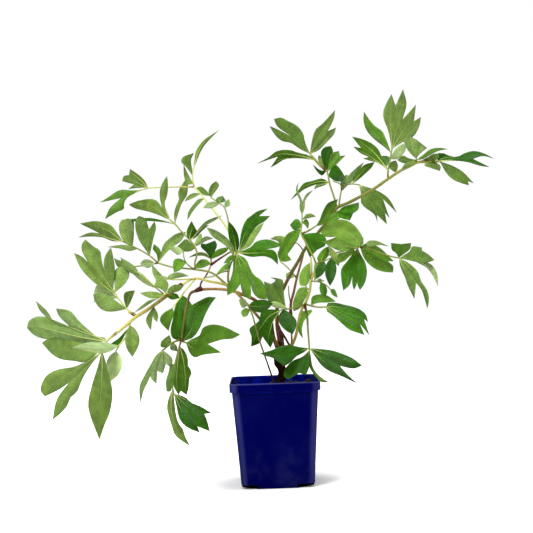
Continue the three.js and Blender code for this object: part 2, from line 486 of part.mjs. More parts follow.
      [288, 379.5, 0], [299, 373], [306, 375, 0], [309, 368], [310, 360]),
    blade(309.5, 350, 106, 30, [308.7, 358], [309.5, 367], [314, 374.7], [321, 382],
      [329, 382.3, 0], [322.5, 378.3], [316.5, 373], [312.3, 365.5], [311, 357]),
    blade(309.5, 349, 116, -15, [320, 349], [332, 350.5], [343, 354], [353, 358.5],
      [362, 365.5, 0], [354, 368.5], [340, 366], [349, 376], [358, 384, 0], [341, 376],
      [330, 371.5], [322, 366], [316, 358]),
    blade(306.3, 311, 66, 20, [302, 311.5], [300.5, 318], [298, 326], [299, 333], [303, 338.5, 0],
      [302, 330], [304, 321], [308, 316.5], [312.5, 310]),
  ]),
  spray("leaf_crest_left", ["stem_right_tall"], [
    stalk(1.4, [337, 208, -20], [334, 197, -28], [330, 185, -36], [326.5, 171, -44],
      [320, 166, -50], [310, 154, -58]),
    stalk(2, [325.5, 170, -45], [319, 164, -51], [311, 155, -57]),
  ], [
    blade(310, 154, -88, -20, [300, 149], [291, 143], [282, 141], [275, 135], [269.5, 126, 0],
      [277, 129], [290, 135.5], [277, 126], [274, 119, 0], [281, 117.5], [288, 121], [296, 125],
      [303, 133], [305, 142]),
    blade(310, 154, -84, 15, [311, 146], [313, 136], [316, 129], [322, 124], [335, 110, 0],
      [334, 118], [328, 131], [336, 127.5, 0], [334, 134], [327, 142], [319, 150]),
    blade(315, 160, -40, -30, [308, 155], [299, 153], [290, 150], [277, 151], [269, 157],
      [257, 163.5, 0], [278, 156.5], [270.5, 167.5, 0], [277, 164], [284, 159.5], [295, 158]),
    blade(326.5, 171, -30, 30, [320, 170], [313, 164.5, 0], [316, 170], [322, 175.5]),
    blade(326, 170, -62, 20, [322, 160], [321, 152], [324, 147.5], [331, 146, 0], [333, 151],
      [331, 158]),
    blade(327, 172, -58, -20, [329, 160], [332, 153], [339, 151, 0], [340, 156],
      [345.5, 155.5, 0], [341, 160], [334, 167]),
    blade(328, 176, -26, -30, [331, 169], [336, 165], [341, 170], [345, 177, 0], [342, 181],
      [335, 181]),
    blade(326, 171.5, -74, 20, [321, 166], [318, 159.5], [318.5, 155, 0], [322, 157],
      [325.5, 161], [328.5, 167]),
    blade(330, 183, -14, -20, [322, 178.5], [312, 181], [304, 183], [300, 188], [290.5, 200, 0],
      [297, 195], [303, 190], [309, 187], [318, 184]),
    blade(329.5, 183, -48, -20, [322, 183], [316, 184.8], [314, 189.5, 0], [318, 187.5],
      [324, 185.5]),
  ]),
  spray("leaf_crest_middle", ["stem_right_tall"], [
    stalk(1.2, [338.8, 207.5, -21], [340.3, 196, -30], [343, 187, -34], [351, 184, -34],
      [360, 185, -34]),
    stalk(0.9, [342, 190, -32], [340.5, 184.5, -32], [332.5, 181, -26]),
  ], [
    blade(352, 184, -50, 20, [354, 178], [358, 172], [364, 165], [374.5, 162, 0], [372, 167],
      [366, 173], [358, 180]),
    blade(350, 184, -54, 35, [347.5, 178], [355.5, 168.5], [364, 162, 0], [358.5, 172]),
    blade(341, 192.5, -50, 20, [340.5, 183], [341, 178], [346.5, 174.7, 0], [351, 177],
      [349, 183.5]),
    blade(359, 185, -24, -10, [370, 188], [380, 192], [389, 199], [397, 213, 0], [383, 199],
      [389.5, 218, 0], [385, 213], [387, 224.5, 0], [377, 215], [377.5, 222.5, 0], [374, 214],
      [367, 209], [361, 203], [361, 194]),
  ]),
  spray("leaf_crest_lower", ["stem_right_tall"], [
    stalk(1.2, [336, 209.5, -20.5], [338, 211.5, -12]),
  ], [
    blade(338, 211.5, 0, -25, [343, 206.8], [350, 204.6], [359, 202.3, 0], [358.5, 209],
      [353, 213.5], [350, 220.5, 0], [346, 219.5], [340, 217.5]),
    blade(337.3, 211.3, -14, 20, [332.5, 214], [327.5, 219], [326, 223.5, 0], [334, 221],
      [340.5, 217.5]),
  ]),
  spray("leaf_top_right", ["stem_right_tall"], [
    stalk(1.3, [388, 179, 0], [388, 171, -6], [390, 160, -14], [392, 149, -20]),
  ], [
    blade(388, 170, -28, -20, [380, 163.5], [372, 161.5], [363, 158.5, 0], [369, 157],
      [361, 153.5], [353, 146.5, 0], [361, 148], [352, 136.5, 0], [362, 139], [372, 143.5],
      [378, 149], [382, 157]),
    blade(391, 153, -46, -15, [383, 146], [374, 139], [367, 131], [363.5, 121], [364, 111.5, 0],
      [369, 119], [375, 126], [382, 131], [386, 139]),
    blade(392, 149, -64, 15, [388, 130], [384, 120], [383, 112], [386, 104], [391.5, 94, 0],
      [395.5, 105.5], [403, 89, 0], [406.5, 104], [402.5, 119.5], [416, 104.5, 0], [414, 121],
      [421, 117, 0], [419, 127], [413, 137], [403, 142]),
    blade(390, 159, 0, -30, [394, 151], [399, 146], [404, 143.5, 0], [406, 148], [403, 154],
      [397, 159]),
    blade(388.5, 168, 4, 20, [391, 162], [396, 160.5, 0], [398, 166], [395.5, 172]),
    blade(389.3, 163.5, -44, 30, [385.5, 166], [382, 161], [381.5, 156, 0], [387, 156],
      [390, 158]),
  ]),
  spray("leaf_far_right_inner", ["stem_right_tall"], [
    stalk(1.3, [416, 163, 13.5], [416.5, 159, 16]),
  ], [
    blade(416.5, 159, -4, 15, [410, 153], [405, 145], [404, 138], [410, 136.5, 0], [417, 140],
      [427, 148, 0], [422, 152], [418, 156]),
    blade(416.5, 160, 30, -30, [423, 155], [430, 149.5], [438, 147.8], [448, 149, 0], [438, 151],
      [430, 155], [423, 159]),
    blade(416.5, 160, 30, 30, [408, 158], [403, 155.5], [397, 160, 0], [403, 163], [410, 163]),
    blade(416.5, 160.5, 40, 10, [411, 161.5], [405, 163.5], [401, 169.5, 0], [407, 167.5],
      [414, 164]),
  ]),
  spray("leaf_far_right", ["stem_right_tall"], [
    stalk(1.4, [432, 161.7, 18.5], [441, 161.5, 22]),
  ], [
    blade(438, 161.5, 64, -35, [436, 154], [443, 153], [450, 156], [457, 157], [465, 153],
      [474, 151], [483, 153], [494, 158.6, 0], [483, 156], [473, 158.8], [489.5, 167, 0],
      [481, 166], [474, 164], [467, 162], [452, 160.5]),
    blade(440, 161.5, 36, -15, [448, 164], [456, 167.5], [463, 172], [474, 183.5, 0], [468, 181],
      [469, 185.5, 0], [461, 183], [453, 179.5], [447, 174]),
    blade(434, 161.8, 34, -30, [425, 163.5], [424.5, 165.5], [431, 168], [440, 171, 0],
      [440.5, 166]),
    blade(433, 161.7, 44, 20, [427, 161.7], [421.5, 161], [428, 157], [433, 154], [438, 153.5, 0],
      [439, 157.5]),
  ]),
];

// A closed solid from a geometry whose faces look outwards
function solid(geometry) {
  const places = geometry.getAttribute("position");
  const bare = new THREE.BufferGeometry().setAttribute("position", places);
  bare.setIndex(geometry.getIndex());
  const merged = mergeVertices(bare, 1e-4);
  const mesh = new wasm.Mesh({
    numProp: 3,
    vertProperties: merged.getAttribute("position").array,
    triVerts: new Uint32Array(merged.getIndex().array),
  });
  return new wasm.Manifold(mesh);
}

function geometryOf(manifold) {
  const { vertProperties, triVerts } = manifold.getMesh();
  const geometry = new THREE.BufferGeometry();
  geometry.setAttribute("position", new THREE.BufferAttribute(vertProperties, 3));
  geometry.setIndex(new THREE.BufferAttribute(triVerts, 1));
  geometry.computeVertexNormals();
  return geometry;
}

const union = (solids) => solids.reduce((all, next) => all.add(next));

// The largest body of a solid, without the scraps that a cut leaves
function mainBody(manifold) {
  return manifold.decompose().reduce((a, b) => (b.volume() > a.volume() ? b : a));
}

function indexed(points, triangles) {
  const geometry = new THREE.BufferGeometry().setFromPoints(points);
  geometry.setIndex(triangles.flat());
  return geometry;
}

// Rings with equal numbers of points, joined in order and closed by a fan at both ends. Seen
// along the order of the rings, each ring's points run anticlockwise looking back at it.
function loft(rings, startCentre, endCentre) {
  const count = rings[0].length;
  const points = [...rings.flat(), startCentre, endCentre];
  const start = points.length - 2;
  const end = points.length - 1;
  const last = (rings.length - 1) * count;
  const triangles = [];
  for (let i = 0; i < count; i++) {
    const next = (i + 1) % count;
    for (let ring = 0; ring < rings.length - 1; ring++) {
      const a = ring * count;
      const b = a + count;
      triangles.push([a + i, a + next, b + next], [a + i, b + next, b + i]);
    }
    triangles.push([start, next, i], [end, last + i, last + next]);
  }
  return indexed(points, triangles);
}

// A square outline with round corners, at a height
function squareRing(width, radius, height) {
  const ring = [];
  for (let corner = 0; corner < 4; corner++) {
    const side = corner * Math.PI / 2 + Math.PI / 4;
    const middle = (width / 2 - radius) * Math.SQRT2;
    for (let step = 0; step <= CORNER_STEPS; step++) {
      const angle = (corner + step / CORNER_STEPS) * Math.PI / 2;
      ring.push(new THREE.Vector3(
        middle * Math.cos(side) + radius * Math.cos(angle),
        middle * Math.sin(side) + radius * Math.sin(angle),
        height,
      ));
    }
  }
  return ring;
}

// Outer width of the pot's body below the skirt
function bodyWidth(height) {
  return THREE.MathUtils.mapLinear(height, 0, POT_HEIGHT - RIM_SKIRT, BASE_WIDTH, BODY_TOP_WIDTH);
}

function innerWidth(height) {
  return bodyWidth(Math.min(height, POT_HEIGHT - RIM_SKIRT)) - 2 * WALL;
}

function potSolid() {
  const skirt = POT_HEIGHT - RIM_SKIRT;
  const inner = CORNER_RADIUS - WALL;
  const edge = 1;
  const rings = [
    squareRing(BASE_WIDTH - 2 * edge, CORNER_RADIUS - edge, 0),
    squareRing(bodyWidth(edge), CORNER_RADIUS, edge),
    squareRing(bodyWidth(skirt), CORNER_RADIUS, skirt),
    squareRing(RIM_WIDTH - edge, CORNER_RADIUS + 1.5, skirt + edge / 2),
    squareRing(RIM_WIDTH, CORNER_RADIUS + 2, skirt + 2 * edge),
    squareRing(RIM_WIDTH, CORNER_RADIUS + 2, POT_HEIGHT - edge),
    squareRing(RIM_WIDTH - 2 * edge, CORNER_RADIUS + 1, POT_HEIGHT),
    squareRing(RIM_WIDTH - 2 * WALL, CORNER_RADIUS, POT_HEIGHT),
    squareRing(RIM_WIDTH - 2 * WALL - edge, CORNER_RADIUS, skirt + 2),
    squareRing(innerWidth(skirt), inner, skirt - 1),
    squareRing(innerWidth(FLOOR_TOP), inner, FLOOR_TOP),
  ];
  const under = new THREE.Vector3(0, 0, 0);
  const floor = new THREE.Vector3(0, 0, FLOOR_TOP);
  let pot = solid(loft(rings, under, floor));
  for (const [x, y] of [[1, 1], [-1, 1], [-1, -1], [1, -1]]) {
    const notch = new THREE.BoxGeometry(FOOT_NOTCH_WIDTH, 2 * FOOT_NOTCH_WIDTH, 2 * FOOT_NOTCH);
    notch.rotateZ(Math.atan2(y, x));
    const reach = BASE_WIDTH / 2 - 2;
    notch.translate(x * reach, y * reach, 0);
    const drain = new THREE.CylinderGeometry(
      DRAIN_RADIUS,
      DRAIN_RADIUS,
      4 * FLOOR_TOP,
      DRAIN_SIDES,
    );
    drain.rotateX(Math.PI / 2);
    drain.translate(x * DRAIN_OFFSET, y * DRAIN_OFFSET, 0);
    pot = pot.subtract(solid(notch)).subtract(solid(drain));
  }
  return pot;
}

// Height of the lumpy soil over a point of the pot's plan
function soilHeight(x, y) {
  const out = Math.min(1, Math.hypot(x - 8, y) / (RIM_WIDTH / 2));
  const lumps = Math.sin(x * 0.31 + 1) * Math.cos(y * 0.27) + 0.6 * Math.sin((x + y) * 0.53);
  return SOIL_EDGE + SOIL_MOUND * (1 - out * out) + SOIL_LUMP * lumps;
}

function soilSolid(cuts) {
  const skirt = POT_HEIGHT - RIM_SKIRT;
  const radius = CORNER_RADIUS - WALL;
  const bottom = squareRing(innerWidth(FLOOR_TOP + GAP) - 2 * GAP, radius, FLOOR_TOP + GAP);
  const rings = [bottom];
  for (let ring = 0; ring < SOIL_RINGS; ring++) {
    const share = 1 - ring / SOIL_RINGS;
    const width = (innerWidth(skirt - 5) - 2 * GAP) * share;
    const points = squareRing(width, radius * share, 0);
    points.forEach((point) => { point.z = ring ? soilHeight(point.x, point.y) : skirt - 5; });
    rings.push(points);
  }
  const under = new THREE.Vector3(0, 0, FLOOR_TOP + GAP);
  const top = new THREE.Vector3(0, 0, soilHeight(0, 0));
  return solid(loft(rings, under, top)).subtract(union(cuts));
}

// The woody crown, thickest at its knots
const CROWN_PATH = [[281, 398, 0], [280, 386, 0], [282.5, 373, 1], [279, 361, -1], [281.5, 350, 1],
  [280, 342, 0]];
const CROWN_RADII = [7, 8, 6, 7.4, 6.4, 3];

function crownSolid(extra) {
  const rings = CROWN_PATH.map((point, i) => {
    const middle = seen(point);
    return Array.from({ length: CROWN_SIDES }, (_, side) => {
      const angle = side / CROWN_SIDES * 2 * Math.PI;
      const radius = extra + CROWN_RADII[i] * (1 + 0.1 * Math.sin(3 * angle + 2 * i));
      return new THREE.Vector3(
        middle.x + radius * Math.cos(angle),
        middle.y + radius * Math.sin(angle),
        middle.z,
      );
    });
  });
  const low = seen(CROWN_PATH[0]).add(new THREE.Vector3(0, 0, -extra));
  const high = seen(CROWN_PATH.at(-1)).add(new THREE.Vector3(0, 0, 1 + extra));
  return solid(loft(rings, low, high));
}

function stalkSolid({ radius, points }, extra, sides) {
  const section = new THREE.Shape(Array.from({ length: sides }, (_, side) => {
    const angle = side / sides * 2 * Math.PI;
    return new THREE.Vector2(Math.cos(angle), Math.sin(angle)).multiplyScalar(radius + extra);
  }));
  const route = new THREE.CatmullRomCurve3(points.map(seen));
  const steps = points.length - 1;
  return solid(new THREE.ExtrudeGeometry(section, { steps, extrudePath: route }));
}

const flat = ([u1, v1], [u2, v2]) => Math.hypot(u2 - u1, v2 - v1);
const middle = ([u1, v1], [u2, v2]) => [(u1 + u2) / 2, (v1 + v2) / 2];

// The nearest point of a spray's stalks to a blade's base
function rootOf({ base }, stalks) {
  const places = stalks.flatMap(({ points }) => {
    const route = new THREE.CatmullRomCurve3(points.map((point) => new THREE.Vector3(...point)));
    return route.getPoints(ROOT_STEPS * points.length).map((place) => place.toArray());
  });
  return places.reduce((a, b) => (flat(b, base) < flat(a, base) ? b : a));
}

// The point at a share of the length of a line of points
function alongLine(line, share) {
  const curve = new THREE.CurvePath();
  for (let i = 0; i + 1 < line.length; i++) {
    const ends = line.slice(i, i + 2).map((point) => new THREE.Vector2(...point));
    curve.add(new THREE.LineCurve(...ends));
  }
  return curve.getPointAt(share).toArray();
}

// The lobes of an outline: rows of points from the base to the tip, along the left side, the
// midrib and the right side. Two lobes share the seam from the base to their notch.
function lobesOf(base, outline) {
  const tips = outline.flatMap((entry, i) => (entry.length === 3 ? [i] : []));
  const notches = tips.slice(1).map((tip, i) => {
    const inner = outline.slice(tips[i] + 1, tip);
    return outline.indexOf(inner.reduce((a, b) => (flat(b, base) < flat(a, base) ? b : a)));
  });
  const seams = notches.map((notch) => Array.from({ length: BLADE_ROWS / 2 }, (_, row) =>
    (row ? alongLine([base, outline[notch]], row / (BLADE_ROWS / 2)) : base)));
  return tips.map((tip, i) => {
    const reaches = notches.slice(Math.max(0, i - 1), i + 1).map((notch) =>
      flat(outline[notch], base) / flat(outline[tip], base));
    const mean = reaches.reduce((a, b) => a + b, 0) / reaches.length || 0.5;
    const waist = THREE.MathUtils.clamp(mean, ...WAIST_LIMITS);
    const sideRows = (edge, seam) => Array.from({ length: BLADE_ROWS + 1 }, (_, row) => {
      const beyond = row / (BLADE_ROWS / 2) - 1;
      if (row === BLADE_ROWS) return outline[tip];
      if (seam && beyond < 0) return seam[row];
      if (seam && beyond === 0) return edge[0];
      if (seam) return alongLine(edge, beyond);
      if (row === 0) return base;
      return alongLine([base, ...edge], beyond < 0 ? waist * (1 + beyond)
        : waist + (1 - waist) * beyond);
    });
    const left = sideRows(outline.slice(i ? notches[i - 1] : 0, tip + 1), seams[i - 1]);
    const after = outline.slice(tip, i < notches.length ? notches[i] + 1 : outline.length);
    const right = sideRows(after.reverse(), seams[i]);
    const midrib = left.map((entry, row) =>
      (entry === right[row] ? entry : middle(entry, right[row])));
    return { droop: outline[tip][2], left, midrib, right };
  });
}

// A blade's middle surface, with the lift of each point
function bladeSurface({ endNear, turn, outline }, [baseU, baseV, baseNear]) {
  const base = [baseU, baseV];
  const lobes = lobesOf(base, outline);
  const tips = lobes.map(({ midrib }) => midrib[BLADE_ROWS]);
  const far = tips.reduce((a, b) => (flat(b, base) > flat(a, base) ? b : a));
  const length = flat(far, base);
  const axis = new THREE.Vector2(far[0] - baseU, far[1] - baseV).divideScalar(length);
  const slope = (endNear - baseNear) / length;
  const tilt = Math.tan(THREE.MathUtils.degToRad(turn)) * MM_PER_PIXEL;
  const points = [];
  const lifts = [];
  const numbers = new Map();
  const number = (entry, width, droop) => {
    if (!numbers.has(entry)) {
      const along = (entry[0] - baseU) * axis.x + (entry[1] - baseV) * axis.y;
      const aside = (entry[0] - baseU) * axis.y - (entry[1] - baseV) * axis.x;
      numbers.set(entry, points.length);
      points.push(seen([entry[0], entry[1], baseNear + slope * along + tilt * aside - droop]));
      const t = THREE.MathUtils.clamp(along / length, 0, 1);
      lifts.push((BLADE_FOLD * width + BLADE_ARCH * length * 4 * t * (1 - t)) * MM_PER_PIXEL);
    }
    return numbers.get(entry);
  };
  const triangles = [];
  for (const { droop, left, midrib, right } of lobes) {
    for (const side of [left, right]) {
      const rows = side.map((entry, row) => {
        const drop = droop * (row / BLADE_ROWS) ** 2;
        const inner = number(midrib[row], 0, drop);
        return [inner, number(entry, flat(entry, midrib[row]), drop)];
      });
      for (let row = 0; row < BLADE_ROWS; row++) {
        const [[a, b], [d, c]] = [rows[row], rows[row + 1]];
        const faces = [[a, b, c], [a, c, d]].filter((face) => new Set(face).size === 3);
        triangles.push(...faces.map((face) => (side === left ? face : face.reverse())));
      }
    }
  }
  return { points, lifts, triangles };
}

function normalsOf(points, triangles) {
  const geometry = indexed(points, triangles);
  geometry.computeVertexNormals();
  const normals = geometry.getAttribute("normal");
  return points.map((_, i) => new THREE.Vector3().fromBufferAttribute(normals, i));
}

// A blade with a front and a back face split into triangles alike, and a wall round its edge
function bladeSolid(form, stalks) {
  const { points, lifts, triangles } = bladeSurface(form, rootOf(form, stalks));
  const facing = new THREE.Vector3();
  normalsOf(points, triangles).forEach((normal) => facing.add(normal));
  const upper = facing.normalize().multiplyScalar(facing.z < 0 ? -1 : 1);
  points.forEach((point, i) => point.addScaledVector(upper, lifts[i]));
  const normals = normalsOf(points, triangles);
  const shifted = (side) => points.map((point, i) =>
    point.clone().addScaledVector(normals[i], side * BLADE_THICKNESS / 2));
  const count = points.length;
  const faces = triangles.flatMap(([a, b, c]) => [[a, b, c], [c + count, b + count, a + count]]);
  const edges = new Set(triangles.flatMap(([a, b, c]) => [`${a},${b}`, `${b},${c}`, `${c},${a}`]));
  for (const edge of edges) {
    const [a, b] = edge.split(",").map(Number);
    if (!edges.has(`${b},${a}`)) faces.push([b, a, a + count], [b, a + count, b + count]);
  }
  return solid(indexed([...shifted(1), ...shifted(-1)], faces));
}

// Each leafy piece is cut clear of what carries it
const fat = new Map([["crown", crownSolid(GAP)]]);
const pieces = new Map([["crown", crownSolid(0)]]);
for (const [sides, sprays] of [[STEM_SIDES, STEMS], [STALK_SIDES, LEAVES]]) {
  for (const { name, stalks } of sprays) {
    if (stalks.length) fat.set(name, union(stalks.map((form) => stalkSolid(form, GAP, sides))));
  }
  for (const { name, carriers, stalks, blades } of sprays) {
    const grown = union([
      ...stalks.map((form) => stalkSolid(form, 0, sides)),
      ...blades.map((form) => bladeSolid(form, stalks)),
    ]);
    if (grown.decompose().length > 1) throw new Error(`${name} has a blade apart from its stalks`);
    const carried = carriers.map((key) => fat.get(key));
    const cut = carriers.length ? grown.subtract(union(carried)) : grown;
    pieces.set(name, mainBody(cut.simplify(SLIVER)));
  }
}
pieces.set("pot", potSolid());
pieces.set("soil", mainBody(soilSolid([fat.get("crown"), fat.get("leaf_from_soil")])));

const FINISHES = {
  pot: { color: 0x0a0a5c, roughness: 0.35 },
  soil: { color: 0x2a1d14, roughness: 1 },
  crown: { color: 0x3a281c, roughness: 0.9 },
  stem: { color: 0x6f6a35, roughness: 0.6 },
  leaf: { color: 0x4d8a30, roughness: 0.55 },
};

const plant = new THREE.Group();
for (const [name, manifold] of pieces) {
  const finish = FINISHES[name] ?? FINISHES[name.split("_")[0]];
  const material = new THREE.MeshStandardMaterial({ ...finish, metalness: 0 });
  const mesh = new THREE.Mesh(geometryOf(manifold), material);
  mesh.name = name;
  plant.add(mesh);
}

export default plant;
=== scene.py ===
"""The looks of a potted tree peony: a square nursery pot, its soil, a gnarled crown and the
stems and divided leaves that grow from it.

Metres, +Z up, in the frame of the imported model. Each class builds one kind of piece and dresses
it with its own procedural finishes, and every piece stands for the node of the same name.
"""
from __future__ import annotations

import logging
import math
import random
from dataclasses import dataclass, field
from enum import Enum
from itertools import accumulate

import bmesh
import bpy
import numpy as np
from mathutils import Matrix, Vector, noise

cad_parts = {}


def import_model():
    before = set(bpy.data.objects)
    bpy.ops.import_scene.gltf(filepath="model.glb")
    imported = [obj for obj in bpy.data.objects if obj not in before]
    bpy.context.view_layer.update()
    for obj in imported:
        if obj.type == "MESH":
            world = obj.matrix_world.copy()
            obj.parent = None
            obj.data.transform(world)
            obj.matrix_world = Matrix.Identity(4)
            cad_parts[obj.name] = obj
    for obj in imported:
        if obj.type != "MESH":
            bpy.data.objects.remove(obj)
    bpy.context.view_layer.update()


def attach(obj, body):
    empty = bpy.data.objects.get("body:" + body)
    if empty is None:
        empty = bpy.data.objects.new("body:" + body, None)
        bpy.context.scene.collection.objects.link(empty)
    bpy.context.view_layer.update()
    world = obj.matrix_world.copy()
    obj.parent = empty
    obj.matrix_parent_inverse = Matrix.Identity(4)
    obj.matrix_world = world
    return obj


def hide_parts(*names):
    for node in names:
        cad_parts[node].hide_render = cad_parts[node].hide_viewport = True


Colour = tuple[float, float, float]
Point = tuple[float, ...]
Pair = tuple[float, float]
Faces = list[tuple[int, ...]]
Socket = bpy.types.NodeSocket

LOG = logging.getLogger("peony")
MM = 0.001
FULL_TURN = 2 * math.pi
# How much brighter than a white backdrop the lights make a white leaf, in each colour
LIGHT_ON_PLANT = (2.6, 2.4, 2.8)
# The vein numbers of a corner that has no veins: far from any midrib
NO_VEIN = (40.0, 0.0, 0.0)
# The shortest gap between two points of a curve that counts, as a square root
SHORTEST_GAP = 1e-4


def linear(red: float, green: float, blue: float) -> Colour:
    """Turns a screen colour into the light values that a shader takes.

    Args:
        red: Red, from 0 to 255.
        green: Green, from 0 to 255.
        blue: Blue, from 0 to 255.

    Returns:
        The three linear values, from 0 to 1.
    """
    shares = (channel / 255 for channel in (red, green, blue))
    return tuple(s / 12.92 if s <= 0.04045 else ((s + 0.055) / 1.055) ** 2.4 for s in shares)


def blended(first: Colour, second: Colour, share: float) -> Colour:
    """Mixes two colours, with the given share of the second."""
    return tuple(a + (b - a) * share for a, b in zip(first, second))


class Tone(Enum):
    """The screen colour of a leaf's visible side, from deep shade to full light."""

    DEEP = 42, 89, 5
    DARK = 64, 117, 17
    MUTED = 84, 125, 34
    BRIGHT = 103, 151, 44
    GREY = 96, 126, 55
    OLIVE = 113, 139, 69
    LIGHT = 128, 156, 77
    PALE = 136, 164, 99
    LEMON = 159, 180, 126
    GLOW = 182, 203, 138
    YELLOW = 145, 188, 82


class Bark(Enum):
    """The skin of a stem or stalk, as screen colours from where it starts to where it ends."""

    GREEN = (132, 126, 60), (154, 166, 78)
    MOSS = (72, 44, 26), (98, 108, 44), (108, 122, 50), (124, 136, 60)
    LEMON = (212, 200, 112), (208, 216, 128)
    STRAW = (118, 86, 46), (132, 112, 52), (172, 148, 78), (214, 198, 112), (226, 216, 134)
    OLIVE = ((104, 36, 24), (96, 62, 30), (92, 100, 38), (122, 122, 52), (150, 146, 72),
             (172, 168, 90))
    UMBER = (44, 18, 14), (70, 26, 20)
    BROWN = (78, 28, 20), (90, 34, 22), (104, 40, 26), (180, 138, 88), (168, 124, 78)
    TWIG = (112, 78, 48), (128, 112, 58), (122, 126, 60)
    RUSSET = (110, 50, 34), (146, 104, 66)
    MAROON = (66, 24, 22), (92, 46, 34), (130, 116, 62), (152, 162, 86)
    GOLD = (120, 104, 54), (186, 178, 86), (202, 200, 98)

    def tones(self, shares: np.ndarray) -> np.ndarray:
        """Returns the linear colour at each share of a stalk's length."""
        channels, stops = zip(*(linear(*colour) for colour in self.value)), len(self.value)
        return np.stack([np.interp(shares, np.linspace(0, 1, stops), one) for one in channels], 1)


WOODY_BARKS = (Bark.BROWN, Bark.RUSSET)


@dataclass(frozen=True)
class View:
    """The eye that the plant's points are placed from.

    A point is u to the right and v down in pixels of a picture 533 across, and near is how far
    it stands towards the eye from the upright plane through the pot's middle, in millimetres
    before depth spreads the plant to the front and back.
    """

    width: int = 533
    focal: float = 1214.6
    distance: float = 1.8
    height: float = 0.32
    side: float = -0.006
    depth: float = 1.5
    roll: float = math.radians(2)

    @property
    def per_pixel(self) -> float:
        """Millimetres across a pixel, in the plane through the pot's middle."""
        return self.distance / self.focal / MM

    def seen(self, places: np.ndarray) -> np.ndarray:
        """Turns rows of u, v and near into points in space.

        Args:
            places: One row of u, v and near for each point.

        Returns:
            One row of x, y and z in metres for each point.
        """
        across = places[:, 0] - self.width / 2
        down = places[:, 1] - self.width / 2
        right = across * math.cos(self.roll) - down * math.sin(self.roll)
        below = across * math.sin(self.roll) + down * math.cos(self.roll)
        away = self.depth * places[:, 2] * MM
        scale = (self.distance - away) / self.focal
        return np.stack([self.side + right * scale, -away, self.height - below * scale], axis=1)


VIEW = View()


def smooth_line(points: np.ndarray, steps: int) -> np.ndarray:
    """Samples the centripetal curve through points, evenly by point number.

    Args:
        points: The points that the curve passes through, one row each.
        steps: How many stretches the curve is cut into.

    Returns:
        The steps + 1 points of the curve, one row each.
    """
    ends = 2 * points[0] - points[1], 2 * points[-1] - points[-2]
    padded = np.vstack([ends[0], points, ends[1]])
    line = []
    for step in range(steps + 1):
        place = (len(points) - 1) * step / steps
        first = min(int(place), len(points) - 2)
        near = padded[first:first + 4]
        gaps = [math.sqrt(np.linalg.norm(near[i + 1] - near[i])) for i in range(3)]
        before, here, after = (gap if gap > SHORTEST_GAP else gaps[1] for gap in gaps)
        came, leg, goes = np.diff(near, axis=0)
        leave = (came / before - (near[2] - near[0]) / (before + here) + leg / here) * here
        arrive = (leg / here - (near[3] - near[1]) / (here + after) + goes / after) * here
        t = place - first
        line.append(near[1] + leave * t + (3 * leg - 2 * leave - arrive) * t ** 2
                    + (leave + arrive - 2 * leg) * t ** 3)
    return np.array(line)


def lengths_along(line: np.ndarray) -> np.ndarray:
    """Returns how far along a line of points each of them lies."""
    return np.concatenate([[0], np.cumsum(np.linalg.norm(np.diff(line, axis=0), axis=1))])


def along_line(line: np.ndarray, shares: np.ndarray) -> np.ndarray:
    """Finds the points at some shares of the length of a line of points.

    Args:
        line: The line's points, one row each.
        shares: Shares of the line's length, from 0 to 1.

    Returns:
        One point for each share.
    """
    reached = lengths_along(line)
    places = np.asarray(shares) * reached[-1]
    return np.stack([np.interp(places, reached, column) for column in line.T], axis=1)


def lofted(rings: list[np.ndarray], ends: np.ndarray) -> tuple[np.ndarray, Faces]:
    """Joins rings of equally many points into one closed shell.

    Args:
        rings: The rings, each as rows of points.
        ends: The two points that close the first and the last ring.

    Returns:
        The shell's points, and its faces.
    """
    count = len(rings[0])
    last = (len(rings) - 1) * count
    points = np.vstack([*rings, ends])
    start, end = len(points) - 2, len(points) - 1
    faces: Faces = []
    for first in range(0, last, count):
        for side in range(count):
            a, b = first + side, first + (side + 1) % count
            faces.append((a, b, b + count, a + count))
    for side in range(count):
        after = (side + 1) % count
        faces += [(start, after, side), (end, last + side, last + after)]
    return points, faces


def linked(name: str, data: bpy.types.ID) -> bpy.types.Object:
    """Puts an object into the scene.

    Args:
        name: Its name.
        data: Its mesh, light or lens.

    Returns:
        The object.
    """
    made = bpy.data.objects.new(name, data)
    bpy.context.scene.collection.objects.link(made)
    return made


def stand_for(piece: bpy.types.Object, node: str) -> None:
    """Makes a piece stand for a node of the model, and reports it.

    Args:
        piece: The piece.
        node: The node's name.
    """
    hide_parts(node)
    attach(piece, "root")
    LOG.info("%s: %d faces", piece.name, len(piece.data.polygons))


@dataclass(frozen=True)
class Stalk:
    """A round stalk of one radius in millimetres through points u, v and near.

    Its bark is that of its spray, unless it has one of its own.
    """

    radius: float
    points: tuple[Point, ...]
    bark: Bark | None = None

    def route(self, steps: int) -> np.ndarray:
        """Returns the stalk's middle line in metres."""
        return smooth_line(VIEW.seen(np.array(self.points, float)), steps)


@dataclass(frozen=True)
class Blade:
    """A leaf blade, which grows from the nearest point of its spray's stalks to its base.

    The outline runs round the blade from the base and back. The tips are numbers of its points,
    and the point nearest to the base between two tips is their notch. The farthest tip lies at
    end_near, and turn is the angle in degrees by which the left half, seen from base to tip,
    comes nearer.
    """

    tone: Tone
    base: Pair
    end_near: float
    turn: float
    outline: tuple[Point, ...]
    tips: tuple[int, ...]


@dataclass(frozen=True)
class Spray:
    """A leafy or bare piece of the plant, named after the node that it stands for."""

    name: str
    bark: Bark
    stalks: tuple[Stalk, ...]
    blades: tuple[Blade, ...]


def stalk(radius: float, *points: Point, bark: Bark | None = None) -> Stalk:
    """Returns a stalk of one radius through points u, v and near, perhaps with its own bark."""
    return Stalk(radius, points, bark)


